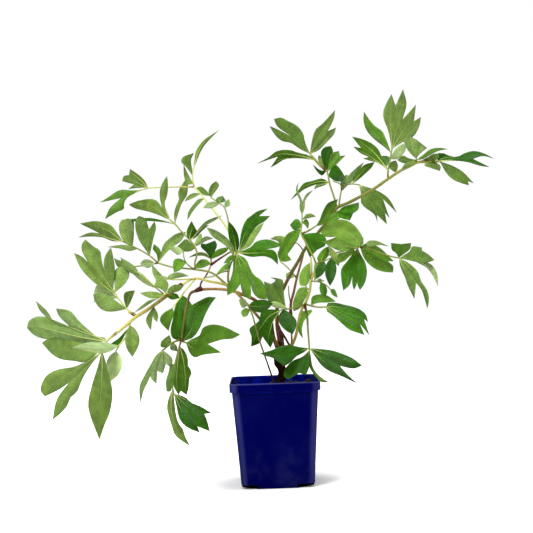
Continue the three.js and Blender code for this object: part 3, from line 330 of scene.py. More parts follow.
def blade(tone: Tone, u: float, v: float, end_near: float, turn: float, *runs: Point) -> Blade:
    """Returns a blade that grows from u, v.

    Args:
        tone: Its shade.
        u: How far right its base lies.
        v: How far down its base lies.
        end_near: How near its farthest tip is.
        turn: The angle by which its left half comes nearer.
        runs: Its outline, walked round from the base as u, v, u, v. Each run ends at a tip, but
            for the last one, which leads back.
    """
    flat = [number for run in runs for number in run]
    tips = tuple(numbers // 2 - 1 for numbers in accumulate(map(len, runs[:-1])))
    return Blade(tone, (u, v), end_near, turn, tuple(zip(flat[::2], flat[1::2])), tips)


def spray(name: str, bark: Bark, *parts: Stalk | Blade) -> Spray:
    """Returns a spray of the given stalks and blades."""
    return Spray(name, bark, tuple(part for part in parts if isinstance(part, Stalk)),
                 tuple(part for part in parts if isinstance(part, Blade)))


STEMS: tuple[Spray, ...] = (
    spray("stem_left_arching", Bark.STRAW,
      stalk(2.2, (280, 349, 1), (268, 329, 13), (260, 319, 20), (246, 303, 30), (228, 286, 42),
        (210, 281.5, 50), (194, 278.5, 58), (180, 286, 64)),
      stalk(2.7, (182, 284.5, 63), (165, 297, 70), (150, 308, 74), (136, 317, 78), (124, 327, 81),
        (116, 333.5, 83.5))),
    spray("stem_left_woody", Bark.BROWN,
      stalk(2.8, (279.5, 354, -1), (273, 335, -8), (270, 318, -8), (256, 301, -4), (240, 293.5, 0),
        (228, 290, 4), (214, 289, 9), (199, 289.5, 14)),
      stalk(2, (201, 289.5, 13.5), (191, 293, 18), (188, 300, 20), (184, 320, 24), (181, 342, 26),
        bark=Bark.TWIG),
      stalk(2.9, (201.5, 288.5, 13), (198.5, 289.5, 14.5), (195.5, 291, 16), bark=Bark.UMBER)),
    spray("stem_right_green", Bark.GOLD,
      stalk(2.2, (281.5, 354, 2), (292, 345, 18), (295.5, 337, 24), (297.5, 328, 30),
        (299.5, 317, 35), (302, 309, 38.5), (305.3, 303, 40), (309.5, 292, 42), (311.3, 280, 44),
        (316, 269, 48), (318.5, 262, 50)),
      stalk(1.6, (311.3, 279, 44), (311.5, 268, 38), (311, 257.5, 32))),
    spray("stem_right_tall", Bark.OLIVE,
      stalk(2.8, (280.5, 348, -1), (277, 322, -13), (278.5, 300, -20), (285, 285, -24),
        (292.5, 271, -28), (299, 260, -30), (304.5, 250, -30), (317, 234, -27), (331, 217, -22),
        (337, 208, -20), (350, 202, -16), (372, 190, -8), (388, 179, 0), (400, 171, 7),
        (412, 165, 12), (417, 162.5, 14), (437, 161.5, 20)),
      stalk(2.4, (282.5, 346, 1), (282, 338, 3), (280, 330, -3), (277.3, 323, -12),
        bark=Bark.UMBER),
      stalk(2, (283, 366, 3), (290, 356, 8), (291, 349, 8), (287.5, 342, 6), (283.5, 335, 3),
        (281, 331, -1), bark=Bark.UMBER)),
    spray("stem_right_thin", Bark.RUSSET,
      stalk(1.6, (280, 361, -1), (287, 353, -9), (291.5, 343, -19), (291.5, 333, -24),
        (290.5, 312, -35)),
      stalk(2.1, (290.6, 315, -33), (291, 303, -39), (294, 291, -43), (297, 277, -48),
        (299.5, 268, -49), (302.3, 258, -50), (304, 251, -50)),
      stalk(1, (290.8, 303, -38.5), (289, 295, -44), (288.5, 286, -48)),
      stalk(0.9, (303.6, 251.5, -50), (300, 246, -50), (296, 242.8, -50), (290.5, 244.5, -50))),
)

LEAVES: tuple[Spray, ...] = (
    spray("leaf_far_left", Bark.LEMON,
      stalk(1.7, (117, 332.5, 83), (107, 341, 86.5), (101, 352, 90)),
      blade(Tone.PALE, 107, 341, 56, -25, (105, 337.6, 97, 336.5, 90, 331, 78, 320, 70, 311,
        56, 308.5), (59, 316, 66, 323, 73, 329, 62, 328, 54, 322, 47, 311, 36, 301), (39, 309,
        46, 317, 37, 316.5, 29, 321, 27, 328), (34, 335, 44, 339, 60, 341, 85, 343.5)),
      blade(Tone.OLIVE, 104, 346, 40, 20, (92, 344, 62, 340, 48, 339, 42, 343), (53, 355,
        62, 359.5, 75, 361, 83, 362.5, 93, 357)),
      blade(Tone.OLIVE, 101, 352, 108, 25, (83, 363, 73, 367, 60, 369, 50, 373, 44, 379, 40.5, 391,
        45, 396.5), (60, 389, 69, 382.5, 57, 399, 52.5, 420), (61, 413, 67, 406, 71, 397, 77, 392,
        81, 382, 88, 369)),
      blade(Tone.LIGHT, 102, 350, 66, 15, (98, 366, 92, 385, 88, 404, 90, 415, 99.5, 440),
        (105, 424, 110, 412, 112.5, 392, 110, 378, 106, 363))),
    spray("leaf_far_left_lower", Bark.LEMON,
      stalk(1.2, (130, 322, 79), (128, 333, 84), (119, 346, 94), (115, 353, 98)),
      blade(Tone.LEMON, 119, 346, 116, 55, (104, 342.5, 90, 342, 80, 344.5, 72, 347.5), (84, 350.5,
        97, 353, 107, 352.5, 115, 348.5)),
      blade(Tone.GLOW, 116, 351, 104, 20, (121, 357, 121.5, 367, 118, 375, 111, 381), (107.5, 370,
        106.5, 363, 110, 355.5)),
      blade(Tone.LIGHT, 129, 325, 102, -20, (134, 328, 138, 334, 139.5, 341, 137, 349, 132.5, 357),
        (127, 349, 125, 338)),
      blade(Tone.DARK, 129, 327, 62, 20, (124.5, 332, 119, 338, 110, 344.5, 104, 352), (112, 348.5,
        119, 344.5, 125.5, 334))),
    spray("leaf_far_left_upper", Bark.LEMON,
      stalk(1.2, (137, 316, 78), (128, 310, 70), (118, 298, 60), (112, 288, 54)),
      stalk(1.9, (134, 314.5, 75.5), (129, 312, 71)),
      blade(Tone.OLIVE, 116, 296, 24, -20, (99, 286, 89.7, 278.5, 80.7, 268, 74, 253), (81, 256,
        88, 262, 82, 251, 82, 244, 85.5, 239.5), (93, 246, 100, 251, 102, 262, 106, 275)),
      blade(Tone.OLIVE, 113, 290, 38, 20, (107, 278, 103.5, 264, 106, 254, 111, 247.5), (113, 256,
        115, 270)),
      blade(Tone.LIGHT, 115, 293, 44, -25, (114.5, 281, 114.5, 272, 118, 267.5, 127, 266),
        (129.5, 274, 125.5, 283)),
      blade(Tone.OLIVE, 126, 309, 60, 30, (116, 301, 108, 295, 100, 293, 93, 294.5), (96, 303,
        101, 309, 108, 311.5, 117, 311)),
      blade(Tone.GREY, 126.5, 308, 56, 20, (124, 300, 124.5, 293, 129, 291, 135, 290.5), (133, 296,
        130, 303)),
      blade(Tone.GLOW, 118, 298, 24, 25, (109, 291, 98, 284, 94.5, 291, 94, 302.5), (101, 301,
        110, 299))),
    spray("leaf_left_folded", Bark.GREEN,
      stalk(1.1, (166, 296, 70), (155, 287, 60), (139, 275, 48)),
      blade(Tone.OLIVE, 140, 275.5, 34, 50, (136, 268, 130, 263, 120.5, 257.5), (123, 265,
        130, 272.5)),
      blade(Tone.GLOW, 157, 288.5, 44, -30, (148, 285.5, 139, 279.5, 131, 271.8), (139, 272,
        148, 279.3))),
    spray("leaf_left_small", Bark.LEMON,
      stalk(1.2, (171, 293, 69), (166, 293.5, 73), (157, 299, 77)),
      blade(Tone.LIGHT, 166, 293.5, 60, 25, (160, 288.5, 154, 286, 156, 281, 152.5, 273,
        152, 264.5), (157, 270, 163, 276.5, 168.5, 284.5)),
      blade(Tone.OLIVE, 167, 293.5, 82, -25, (169, 288, 175, 284.5, 183.5, 286), (179, 291)),
      blade(Tone.LIGHT, 164, 294.5, 92, 45, (158, 292.5, 150, 291.5, 140, 293), (147, 297,
        156, 298.5)),
      blade(Tone.OLIVE, 157, 299, 92, 50, (150, 300, 142, 305.5, 134.5, 312.5), (143, 308,
        151, 302.7)),
      blade(Tone.DARK, 171, 293, 58, 20, (167.5, 296.5, 171.5, 299.5, 179.5, 298), (177, 294))),
    spray("leaf_left_hanging_pair", Bark.LEMON,
      stalk(1.1, (158, 302, 72), (154, 306.5, 79)),
      blade(Tone.OLIVE, 154, 306.5, 88, 20, (149, 313, 146, 320, 148, 326, 151, 330), (152, 321,
        153, 315, 154, 319, 157, 322), (158, 315))),
    spray("leaf_left_arched", Bark.LEMON,
      stalk(1.1, (193, 279, 58), (181, 279.5, 72), (169, 279.5, 84)),
      blade(Tone.PALE, 170, 279.5, 96, 25, (168, 276.5, 172, 273.5, 180, 272.5, 189, 276),
        (182, 277)),
      blade(Tone.GLOW, 171, 279.5, 92, -20, (166, 276.5, 158, 276), (163, 279.5))),
    spray("leaf_left_yellow_stalk", Bark.LEMON,
      stalk(1.1, (195, 279, 58), (183, 294, 78), (172.5, 308, 92)),
      blade(Tone.MUTED, 172.5, 308, 104, -20, (165, 312, 161, 316, 160, 321, 168.5, 331),
        (171, 322, 174, 313))),
    spray("leaf_low_left", Bark.GREEN,
      stalk(1.4, (181.5, 338, 25), (183, 341.5, 22), (187, 343, 25)),
      blade(Tone.DARK, 183, 341, 0, -20, (180.5, 330, 180, 318, 177.5, 306, 178, 299, 182, 295),
        (188, 299, 192, 305, 200, 300.5, 208, 297, 216, 297.5), (211, 304, 205, 315, 200.5, 326.5,
        193, 337.5)),
      blade(Tone.MUTED, 186, 343, 60, -25, (191, 339.5, 200, 335, 202, 329, 207, 325.5, 215, 324.5,
        224, 326.5, 240, 334.5), (233, 338.5, 222, 339.5, 208, 344, 221.5, 352.5), (202, 355,
        195, 357.5, 191, 355, 188, 349)),
      blade(Tone.DARK, 182.5, 340, 12, 15, (173, 338.5, 170.5, 331, 173, 318, 175, 307,
        179, 299.5), (182.5, 315, 183, 332))),
    spray("leaf_low_left_hanging", Bark.GREEN,
      stalk(1.3, (181, 341, 26), (179, 348, 36), (174, 368, 52), (172, 380, 58), (174, 395, 62)),
      blade(Tone.MUTED, 180, 346, 20, 15, (176, 360, 172.5, 376, 173.5, 386, 178.5, 395),
        (181, 391, 186.5, 395), (188.5, 388, 189.5, 378, 192.5, 370, 188.5, 369, 188, 360,
        185, 351)),
      blade(Tone.GREY, 174.5, 364, 66, 20, (170.5, 364.5, 168.5, 372, 166, 381, 166.5, 391.5),
        (170.5, 391.5, 173, 381, 176, 369)),
      blade(Tone.OLIVE, 173, 389, 44, 20, (169, 397, 167, 407, 169, 417, 171.5, 425, 175, 435,
        182, 441, 190.5, 446.5), (185, 436, 183, 429, 179, 424, 176, 414, 174.5, 402)),
      blade(Tone.DEEP, 174, 394, 84, -15, (185, 397, 192, 403, 200, 406, 211.5, 413), (204.5, 414,
        207, 420, 210, 431.5), (197.5, 426.5, 200, 433), (186.5, 427, 179.7, 419.5, 176.7, 408))),
    spray("leaf_low_left_pale", Bark.GREEN,
      stalk(1.5, (180.5, 339.5, 26), (172, 343, 40), (162, 351, 52)),
      blade(Tone.GREY, 171.5, 343.5, 32, 30, (166, 347, 161, 347, 161, 342, 165, 338, 169.5, 335),
        (171, 339)),
      blade(Tone.LEMON, 163, 350.5, 38, 15, (168, 354, 172, 358, 172.5, 363, 169.5, 366.5),
        (166, 364, 163, 373.5), (157.5, 371, 156.5, 384), (151.5, 379, 149.5, 372, 152, 362,
        157, 354)),
      blade(Tone.PALE, 162, 351, 60, 45, (155, 358, 149.5, 366.5, 144, 376.5, 139.5, 387,
        140.5, 404), (143.5, 391, 148, 381.5, 153, 370)),
      blade(Tone.LEMON, 173.5, 343, 28, -20, (170.5, 345.5, 170.5, 349.5, 177.5, 351.5),
        (177, 346.5))),
    spray("leaf_mid_left", Bark.GREEN,
      stalk(1.5, (228, 286, 42), (212, 273, 34), (195, 269.5, 24), (172, 267, 8), (158, 263, -2)),
      stalk(1.2, (158, 263, -2), (150, 256, -10), (140, 250, -18), (123, 241.5, -30)),
      stalk(1.2, (158, 263, -2), (144, 265.5, -8), (131, 267, -14)),
      stalk(1, (195, 269.5, 24), (188, 265, 27), (184.3, 259, 29), (183.3, 250.5, 30)),
      blade(Tone.OLIVE, 123, 242, -54, -30, (117, 233, 112, 226, 107, 223.5, 95, 221, 80, 223.5),
        (100, 233.5, 90, 232.5, 78, 237.5), (90, 236.5, 103, 237.5, 112, 241)),
      blade(Tone.OLIVE, 133, 246, -48, 20, (124, 241.5, 119.5, 232, 120, 222, 127, 218.5),
        (133, 220, 134, 232)),
      blade(Tone.OLIVE, 138, 249, -6, 50, (130, 245.5, 120, 245, 107.5, 247), (120, 248.5,
        130, 251)),
      blade(Tone.GREY, 150, 256, -36, 20, (145, 249, 139, 240, 135.5, 229, 136, 219, 139, 216),
        (145, 218.5, 149, 229, 154.5, 221.5), (156, 228, 153.5, 238)),
      blade(Tone.MUTED, 158.5, 262, -16, 30, (156.5, 254, 152.8, 249, 154, 244), (160, 249.5,
        160.8, 256)),
      blade(Tone.OLIVE, 158, 263, -26, -25, (161, 252, 164, 244, 170, 238, 178, 233, 186, 232),
        (181, 241, 174, 246, 167, 252)),
      blade(Tone.LEMON, 156, 263, 12, 30, (150, 260, 144, 259.5, 140, 264), (148, 268)),
      blade(Tone.OLIVE, 131, 266, -28, -30, (126, 262, 118, 260, 114, 258), (117, 266, 124, 270)),
      blade(Tone.BRIGHT, 186.3, 263, 36, 20, (183, 260, 178, 258.5, 174, 260, 173, 266,
        174, 272.5), (180, 270)),
      blade(Tone.LEMON, 183.3, 251.5, 22, 25, (178, 246.8, 172, 247.3, 169.8, 249.5), (174, 252.3,
        178, 255))),
    spray("leaf_upper_left", Bark.GREEN,
      stalk(1.3, (195, 269.5, 24), (195, 262, 16), (197, 254, 8), (195, 247, 2), (187, 237, -10),
        (181, 231, -18), (175, 224, -28), (170, 220, -34)),
      blade(Tone.LIGHT, 171, 221, -76, -20, (162, 216.5, 150, 212, 134, 208, 129, 204.5),
        (137, 201, 155, 199.5, 162, 207.5, 160, 198, 160, 190, 163, 182, 167, 176), (168, 185,
        167, 196, 164.5, 204)),
      blade(Tone.DEEP, 174, 223.5, -54, 55, (163, 220.5, 150, 218, 138, 218.5, 120, 220),
        (138, 221.5, 150, 221)),
      blade(Tone.OLIVE, 175, 224, -66, 15, (174, 214, 176, 206, 179, 199, 178, 193, 181, 186,
        189, 175), (188, 185, 187, 195, 182, 203, 179, 211)),
      blade(Tone.MUTED, 189, 240, -26, 20, (187, 236, 187, 230, 191.5, 221), (197, 231, 204, 226,
        209, 225), (203, 230, 195, 238)),
      blade(Tone.PALE, 190, 241, -38, 40, (197, 231, 205, 222, 213, 218, 222, 215.5), (214, 221,
        205, 226)),
      blade(Tone.PALE, 194, 246, -8, -30, (196, 240, 198.5, 235.5, 201.5, 233.5), (202, 238.5,
        199, 243)),
      blade(Tone.GREY, 195.5, 248.5, -12, 30, (191, 243, 186, 239, 181, 243, 176.5, 247.3),
        (182, 251, 190, 251.3)),
      blade(Tone.LEMON, 194.5, 246.5, -24, 20, (199, 241.3, 206, 236.3, 213.5, 238.5), (206, 241,
        199.5, 245))),
    spray("leaf_top_left", Bark.LEMON,
      stalk(1.4, (234.8, 260, 59.5), (234.8, 252, 50), (233, 241, 43), (228, 230, 34),
        (219, 217, 14), (207, 202, -8), (200, 193, -20), (194, 187, -30)),
      stalk(1.1, (194, 187, -30), (172, 187, -52), (148, 188, -74)),
      stalk(1, (194, 187, -30), (192.5, 178, -34), (193, 169, -38)),
      blade(Tone.OLIVE, 149, 188, -92, -25, (145, 181, 139, 175, 130, 169), (129, 175, 124, 176,
        122, 181), (134, 184.5, 128, 189), (138, 188)),
      blade(Tone.MUTED, 148, 188, -58, 25, (135, 190.5, 120, 190, 110, 196, 100, 202.5), (121, 198,
        110, 208, 105, 219), (118, 211.5, 124, 209, 124, 203, 128, 197, 137, 192)),
      blade(Tone.LIGHT, 193, 170, -76, 40, (194.5, 160, 196, 151, 203, 141, 219, 130), (211, 138,
        204, 146, 200, 153, 196, 163)),
      blade(Tone.GREY, 192.5, 176, -50, 20, (187, 168, 181, 161, 183, 157, 194, 153), (191, 160,
        192, 169)),
      blade(Tone.OLIVE, 193, 184, -46, 30, (187, 184, 184, 176, 183.5, 164), (187, 172)),
      blade(Tone.GREY, 195, 188, -14, -25, (201, 186.5, 206, 190, 210.5, 196), (204, 195,
        199, 192)),
      blade(Tone.OLIVE, 200, 194, -14, 30, (194, 193, 188, 196, 184.5, 201.5), (191, 199)),
      blade(Tone.GREY, 204, 198, 8, 30, (199, 199, 193, 205, 188, 213, 187.5, 220), (193, 211,
        199, 204))),
    spray("leaf_top_left_small", Bark.GREEN,
      stalk(1, (229, 231, 36), (228, 220, 34), (224, 207, 26), (217, 202, 20), (210.5, 197, 14)),
      blade(Tone.OLIVE, 211.5, 197.7, 6, 20, (208.5, 192, 211, 185, 216, 181), (219, 185,
        215, 192)),
      blade(Tone.PALE, 219, 203.3, 22, 20, (215.5, 200, 218, 197, 223, 196), (225.5, 201)),
      blade(Tone.LEMON, 220, 204, 34, 20, (213, 201.5, 207, 203, 203, 208), (212, 208)),
      blade(Tone.PALE, 224.5, 208, 28, -20, (225, 202, 229, 199), (230, 205))),
    spray("leaf_centre", Bark.GREEN,
      stalk(1.6, (229.5, 287.5, 42), (228, 277, 51), (230, 266, 57), (234.5, 257, 61),
        (239, 251, 63)),
      stalk(1.1, (229.3, 270.5, 54.5), (221, 272.5, 55), (213, 276.3, 56), (204.5, 277.7, 57)),
      blade(Tone.PALE, 235, 258, 90, -25, (228, 248, 219, 241, 212, 236, 206.5, 227.5),
        (214, 229.5, 222, 234, 229, 240, 234, 248)),
      blade(Tone.DARK, 237, 255, 74, 20, (232, 246, 229, 238, 228, 229, 229, 221.5), (234, 227,
        238, 235, 239, 246)),
      blade(Tone.DARK, 239, 251, 34, 15, (240, 240, 242, 229, 246, 220, 252, 215, 258, 211,
        268, 208.5), (259, 216, 270, 216), (265, 221, 257, 226, 251, 234, 246, 243)),
      blade(Tone.LIGHT, 239, 251, 52, -30, (246, 243, 252, 232, 258, 226, 264, 222.5), (261, 229,
        256, 237, 250, 246)),
      blade(Tone.DARK, 239, 252, 84, -30, (251, 247, 255, 242.5, 262, 239.8, 270, 239.8, 283, 245),
        (276, 247.5, 266, 249.3, 255, 251.5)),
      blade(Tone.DARK, 238.5, 253, 98, 25, (254, 249.5, 265, 249.3, 274, 250.5, 277.5, 256.5,
        277.8, 264.5), (271.5, 258.7, 264, 256.2, 251, 256.8)),
      blade(Tone.MUTED, 238, 255, 94, 10, (246, 259, 250, 268, 254, 275, 261, 280, 265, 287,
        266.8, 299.5), (259, 298.5, 253.5, 293.5, 250.5, 284, 251, 292, 250.5, 300), (243.5, 295,
        240.3, 284, 235.5, 290.5, 227.5, 295.5), (227, 287, 230.5, 279, 233, 270, 233.5, 261)),
      blade(Tone.BRIGHT, 236, 257, 76, 20, (232, 255, 227, 258, 223.5, 263.5), (229, 262)),
      blade(Tone.BRIGHT, 234, 262, 82, 35, (229, 262, 222, 267, 215, 276), (223, 271, 230, 268))),
    spray("leaf_centre_left", Bark.BROWN,
      stalk(1.3, (200, 289, 14), (201, 283, 6), (207, 274, -6), (211, 264, -16), (211, 258, -20)),
      stalk(1.6, (210.7, 265, -15), (220, 258.5, -15), (231, 251.5, -14)),
      blade(Tone.DEEP, 211, 259, -36, 20, (206, 252, 201, 247, 201, 243.5), (206, 244, 215, 240.5),
        (217, 245, 215, 251)),
      blade(Tone.MUTED, 211, 259, -12, -30, (213.5, 253, 219, 249, 229, 247), (227, 251,
        219, 256)),
      blade(Tone.GREY, 211, 259, -6, 35, (206, 253.5, 199, 252.3, 188, 257.5), (197, 255.8,
        204, 256)),
      blade(Tone.BRIGHT, 211, 264, -6, 30, (207, 260, 201, 259.5, 197, 263, 194, 268.5),
        (202, 268))),
    spray("leaf_centre_back", Bark.GREEN,
      stalk(1.1, (296, 277, -48), (288, 268, -56), (280, 261, -62)),
      blade(Tone.BRIGHT, 280, 261, -84, 20, (277.5, 254, 281, 246, 283.5, 239, 289, 232.5,
        300.5, 228.5), (298.5, 238, 287.5, 254.5, 291.5, 260), (285, 261.8)),
      blade(Tone.OLIVE, 280.5, 261, -72, 25, (278, 254, 279.5, 247, 278, 241.5, 270.3, 239),
        (276, 236, 285, 237.5, 286, 246, 283, 256)),
      blade(Tone.PALE, 291.5, 271.7, -46, 20, (289, 272, 286, 274.5, 286.5, 279.8), (290.5, 278.5,
        294, 277))),
    spray("leaf_from_soil", Bark.MAROON,
      stalk(1.3, (274, 398, 14), (273, 381, 18), (268, 365, 26), (260, 342, 34), (256, 328, 38),
        (252, 314, 42), (248, 305, 44)),
      blade(Tone.DARK, 248, 306, 86, 30, (252, 302, 258, 300, 266, 300, 273, 303.5), (268, 309,
        261, 312.5, 254, 311)),
      blade(Tone.YELLOW, 250, 310, 58, 20, (245, 308, 241, 312, 243, 317), (247, 316)),
      blade(Tone.GLOW, 248, 305, 58, 30, (244.5, 299, 239, 299.5), (240.5, 305, 243, 308))),
    spray("leaf_centre_low", Bark.GREEN,
      stalk(1.3, (304.5, 305, 40), (290, 308.5, 54), (281, 310, 62)),
      blade(Tone.DEEP, 283, 309.5, 82, -15, (287, 311, 292, 315, 296.5, 321, 296, 327, 293, 334),
        (288, 332, 283, 328, 279, 322, 279, 315)),
      blade(Tone.DARK, 281, 310, 0, -14, (273, 309.5, 261.5, 310.5, 259, 321, 249.5, 328.5,
        251.5, 337, 251, 346.5), (259.5, 343, 262.5, 336.5, 270.5, 348), (273.3, 341, 272.5, 330,
        272.5, 321, 275.5, 315)),
      blade(Tone.GREY, 286, 309, 42, 20, (277, 306, 268.5, 301, 265.5, 292, 264, 281.5), (271, 284,
        276.5, 280.8, 270.4, 277.4), (277, 278.2, 283, 280, 283.5, 289, 284.5, 299)),
      blade(Tone.GLOW, 288, 308.5, 74, 35, (280, 303, 273, 301.5, 269, 304), (275, 307.5))),
    spray("leaf_centre_yellow", Bark.GREEN,
      stalk(1, (309.3, 290, 42), (306.5, 287.5, 34), (305, 284, 28)),
      blade(Tone.YELLOW, 306, 287, 22, 15, (299.5, 288, 295, 296, 292.8, 304, 293.5, 311.3),
        (300, 308.3, 304.5, 300, 308, 293)),
      blade(Tone.YELLOW, 305.5, 286.3, 20, 20, (300.5, 285.5, 299.2, 276, 303.5, 267.5,
        309.8, 262.5), (310.3, 272, 309, 282))),
    spray("leaf_centre_top", Bark.GREEN,
      stalk(1.2, (316.5, 267, 49), (314.5, 259.5, 48), (310.5, 251.5, 40), (306, 243, 27),
        (301, 233, 14), (302, 222, 8), (302, 214, 4)),
      stalk(1.4, (301, 234, 14), (308, 231, 12), (316, 226, 10)),
      blade(Tone.PALE, 302, 215, -8, 40, (299.6, 208, 299.6, 200, 296.4, 193, 296.2, 187,
        298.8, 182), (297.8, 187.5, 298.3, 192, 301.5, 199, 304, 208)),
      blade(Tone.LEMON, 302, 216, -10, 40, (302.2, 206, 303.3, 199.5, 306.5, 194, 313, 190),
        (308.5, 195.5, 305.3, 200.5, 304.5, 208)),
      blade(Tone.OLIVE, 302, 220, 22, -30, (306, 214.5, 311, 213.5, 316, 216.5), (309, 218)),
      blade(Tone.MUTED, 302, 223, 18, -30, (306, 219, 309, 223, 308, 229), (305, 225)),
      blade(Tone.DARK, 301.5, 228, -2, 30, (300, 221, 296, 219, 290, 225), (294, 230)),
      blade(Tone.MUTED, 316, 226, -12, 20, (320, 219, 323, 211, 328, 203, 338, 199), (335, 208,
        329, 217, 322, 225)),
      blade(Tone.DARK, 302, 235, 8, -20, (312, 233, 320, 233.3, 326, 238, 325, 246), (317, 250,
        310, 257.5), (307, 251, 305, 243))),
    spray("leaf_right_inner", Bark.GREEN,
      stalk(1.1, (318.5, 263, 50), (324, 261, 62), (331, 258, 70)),
      blade(Tone.BRIGHT, 321.5, 262, 56, 20, (317, 259.3, 320, 252.5, 323.5, 249, 327.5, 246.5),
        (329, 252, 327, 258)),
      blade(Tone.DEEP, 324, 261, 76, 20, (318, 265, 315.6, 271, 316.5, 279), (322.5, 274.5,
        326.5, 266.5)),
      blade(Tone.DEEP, 331, 258, 86, 10, (327, 263, 325, 272, 326.5, 279, 330, 286), (334, 279,
        336.5, 270, 335, 262))),
    spray("leaf_right_mid", Bark.GREEN,
      stalk(1.3, (318.5, 261, 49), (326, 256, 52), (335, 253, 54), (348, 250, 58), (360, 247, 62)),
      blade(Tone.YELLOW, 360, 247, 98, -35, (364, 242, 361, 234, 355, 226, 348, 221, 339, 219.5,
        330, 222, 324, 227, 320.5, 232.5), (325, 236.5, 331, 237, 337, 236.5, 330, 239.5,
        322.5, 241.5), (328.5, 245.5, 338, 250.3, 350, 250.8)),
      blade(Tone.YELLOW, 353, 249, 72, 30, (345, 252, 338, 254, 337, 259, 339, 263), (344, 261.3,
        350, 256, 356, 252)),
      blade(Tone.LIGHT, 336, 252.7, 66, 15, (332, 248.5, 328, 245.5, 329.8, 254, 333.5, 261.3,
        338.7, 266.3), (340, 259)),
      blade(Tone.DARK, 358, 247.5, 92, 10, (353, 253.5, 347, 261.5, 341.3, 269, 341.3, 279,
        343.3, 290.5), (349.5, 285, 352.3, 276.5, 352.3, 284, 354, 290), (356.7, 284, 357.3, 275,
        357.3, 284, 360, 290), (364.5, 283.5, 367, 272, 365, 262, 361, 255)),
      blade(Tone.BRIGHT, 360, 247, 40, -20, (366, 243, 374, 244.5, 382, 249.5, 388, 255.5,
        393.8, 261.3), (388, 261.3, 393, 266, 393, 272.5), (385, 272, 376, 269.3, 369, 264.3,
        363.5, 257)),
      blade(Tone.OLIVE, 318.7, 261.5, 60, 20, (314.8, 264, 313.8, 273, 314.6, 283.5), (317, 275,
        318.7, 268))),
    spray("leaf_right_far", Bark.GREEN,
      stalk(1.2, (360.4, 247.1, 63), (368, 248, 67), (380, 252.5, 67), (391, 256.5, 67),
        (400, 258, 68), (410, 258.5, 72)),
      blade(Tone.OLIVE, 366.5, 247.5, 76, -40, (367, 242, 371, 240.5, 377, 241, 389, 246.5),
        (379, 245)),
      blade(Tone.MUTED, 399, 258, 52, 20, (396, 253, 392, 250, 391, 243), (401, 244, 411, 243),
        (410, 249, 404, 254)),
      blade(Tone.GREY, 400, 258, 96, -20, (404, 255, 410, 251, 412, 246.5, 422, 247.5),
        (422, 250.5, 428, 254, 434.5, 260), (425, 263, 412, 261)),
      blade(Tone.LEMON, 410, 259, 96, 30, (424, 261.5, 432, 265, 437, 274, 438, 286), (433, 276,
        427, 268, 420, 264)),
      blade(Tone.GREY, 400, 258.5, 106, 10, (399.5, 264, 402, 271, 405.3, 278, 407.5, 285,
        414.5, 299), (416, 283, 421, 289, 427.5, 308.5), (429, 299, 427, 290, 421, 281, 418, 272,
        410, 264))),
    spray("leaf_right_low", Bark.GREEN,
      stalk(1.3, (305, 304, 40), (317, 307, 54), (327, 307, 62)),
      blade(Tone.DARK, 326, 307, 88, -15, (326, 303.8, 334, 302.5, 343, 304.5, 352, 306.5,
        360, 309.5, 366, 315, 368, 322), (364, 319, 369.5, 335.5), (360, 324, 364.5, 335),
        (357, 332.5, 349, 329.5, 341, 322.7, 333, 315.5, 326, 310.3)),
      blade(Tone.BRIGHT, 311, 305, 34, -30, (312, 297, 318, 294.5, 326, 295, 336, 301.5),
        (326, 302.5, 317, 303))),
    spray("leaf_right_strand", Bark.GREEN,
      stalk(0.9, (310.5, 281, 43.3), (319, 282, 50), (326, 285, 56), (331, 290, 60)),
      blade(Tone.DARK, 320.5, 282.5, 62, 20, (319.5, 288, 321, 294, 324.5, 296.5), (327, 293,
        326, 286)),
      blade(Tone.BRIGHT, 330.5, 289.5, 72, -30, (334, 289, 336.5, 293, 337.5, 297.5), (334, 296,
        331, 293)),
      blade(Tone.LEMON, 315, 281.5, 56, -20, (319, 278.5, 325, 281), (320, 282))),
    spray("leaf_over_rim", Bark.MOSS,
      stalk(1.6, (305, 306, 39), (307, 315, 50), (308, 330, 64), (309.5, 350, 78)),
      blade(Tone.DEEP, 308.5, 348, 98, 25, (299, 347, 290, 345, 281, 346, 272, 350, 260, 353.5),
        (266, 356, 273, 358, 280, 363, 285, 365.5, 291, 362, 297, 356, 303, 353)),
      blade(Tone.DEEP, 309, 350, 98, 20, (302, 357, 294, 360, 289, 364, 285, 369, 284, 376,
        288, 379.5), (299, 373, 306, 375), (309, 368, 310, 360)),
      blade(Tone.GREY, 309.5, 350, 106, 30, (308.7, 358, 309.5, 367, 314, 374.7, 321, 382,
        329, 382.3), (322.5, 378.3, 316.5, 373, 312.3, 365.5, 311, 357)),
      blade(Tone.DEEP, 309.5, 349, 116, -15, (320, 349, 332, 350.5, 343, 354, 353, 358.5,
        362, 365.5), (354, 368.5, 340, 366, 349, 376, 358, 384), (341, 376, 330, 371.5, 322, 366,
        316, 358)),
      blade(Tone.BRIGHT, 306.3, 311, 66, 20, (302, 311.5, 300.5, 318, 298, 326, 299, 333,
        303, 338.5), (302, 330, 304, 321, 308, 316.5, 312.5, 310))),
    spray("leaf_crest_left", Bark.GREEN,
      stalk(1.4, (337, 208, -20), (334, 197, -28), (330, 185, -36), (326.5, 171, -44),
        (320, 166, -50), (310, 154, -58)),
      stalk(2, (325.5, 170, -45), (319, 164, -51), (311, 155, -57)),
      blade(Tone.GREY, 310, 154, -88, -20, (300, 149, 291, 143, 282, 141, 275, 135, 269.5, 126),
        (277, 129, 290, 135.5, 277, 126, 274, 119), (281, 117.5, 288, 121, 296, 125, 303, 133,
        305, 142)),
      blade(Tone.OLIVE, 310, 154, -84, 15, (311, 146, 313, 136, 316, 129, 322, 124, 335, 110),
        (334, 118, 328, 131, 336, 127.5), (334, 134, 327, 142, 319, 150)),
      blade(Tone.MUTED, 315, 160, -40, -30, (308, 155, 299, 153, 290, 150, 277, 151, 269, 157,
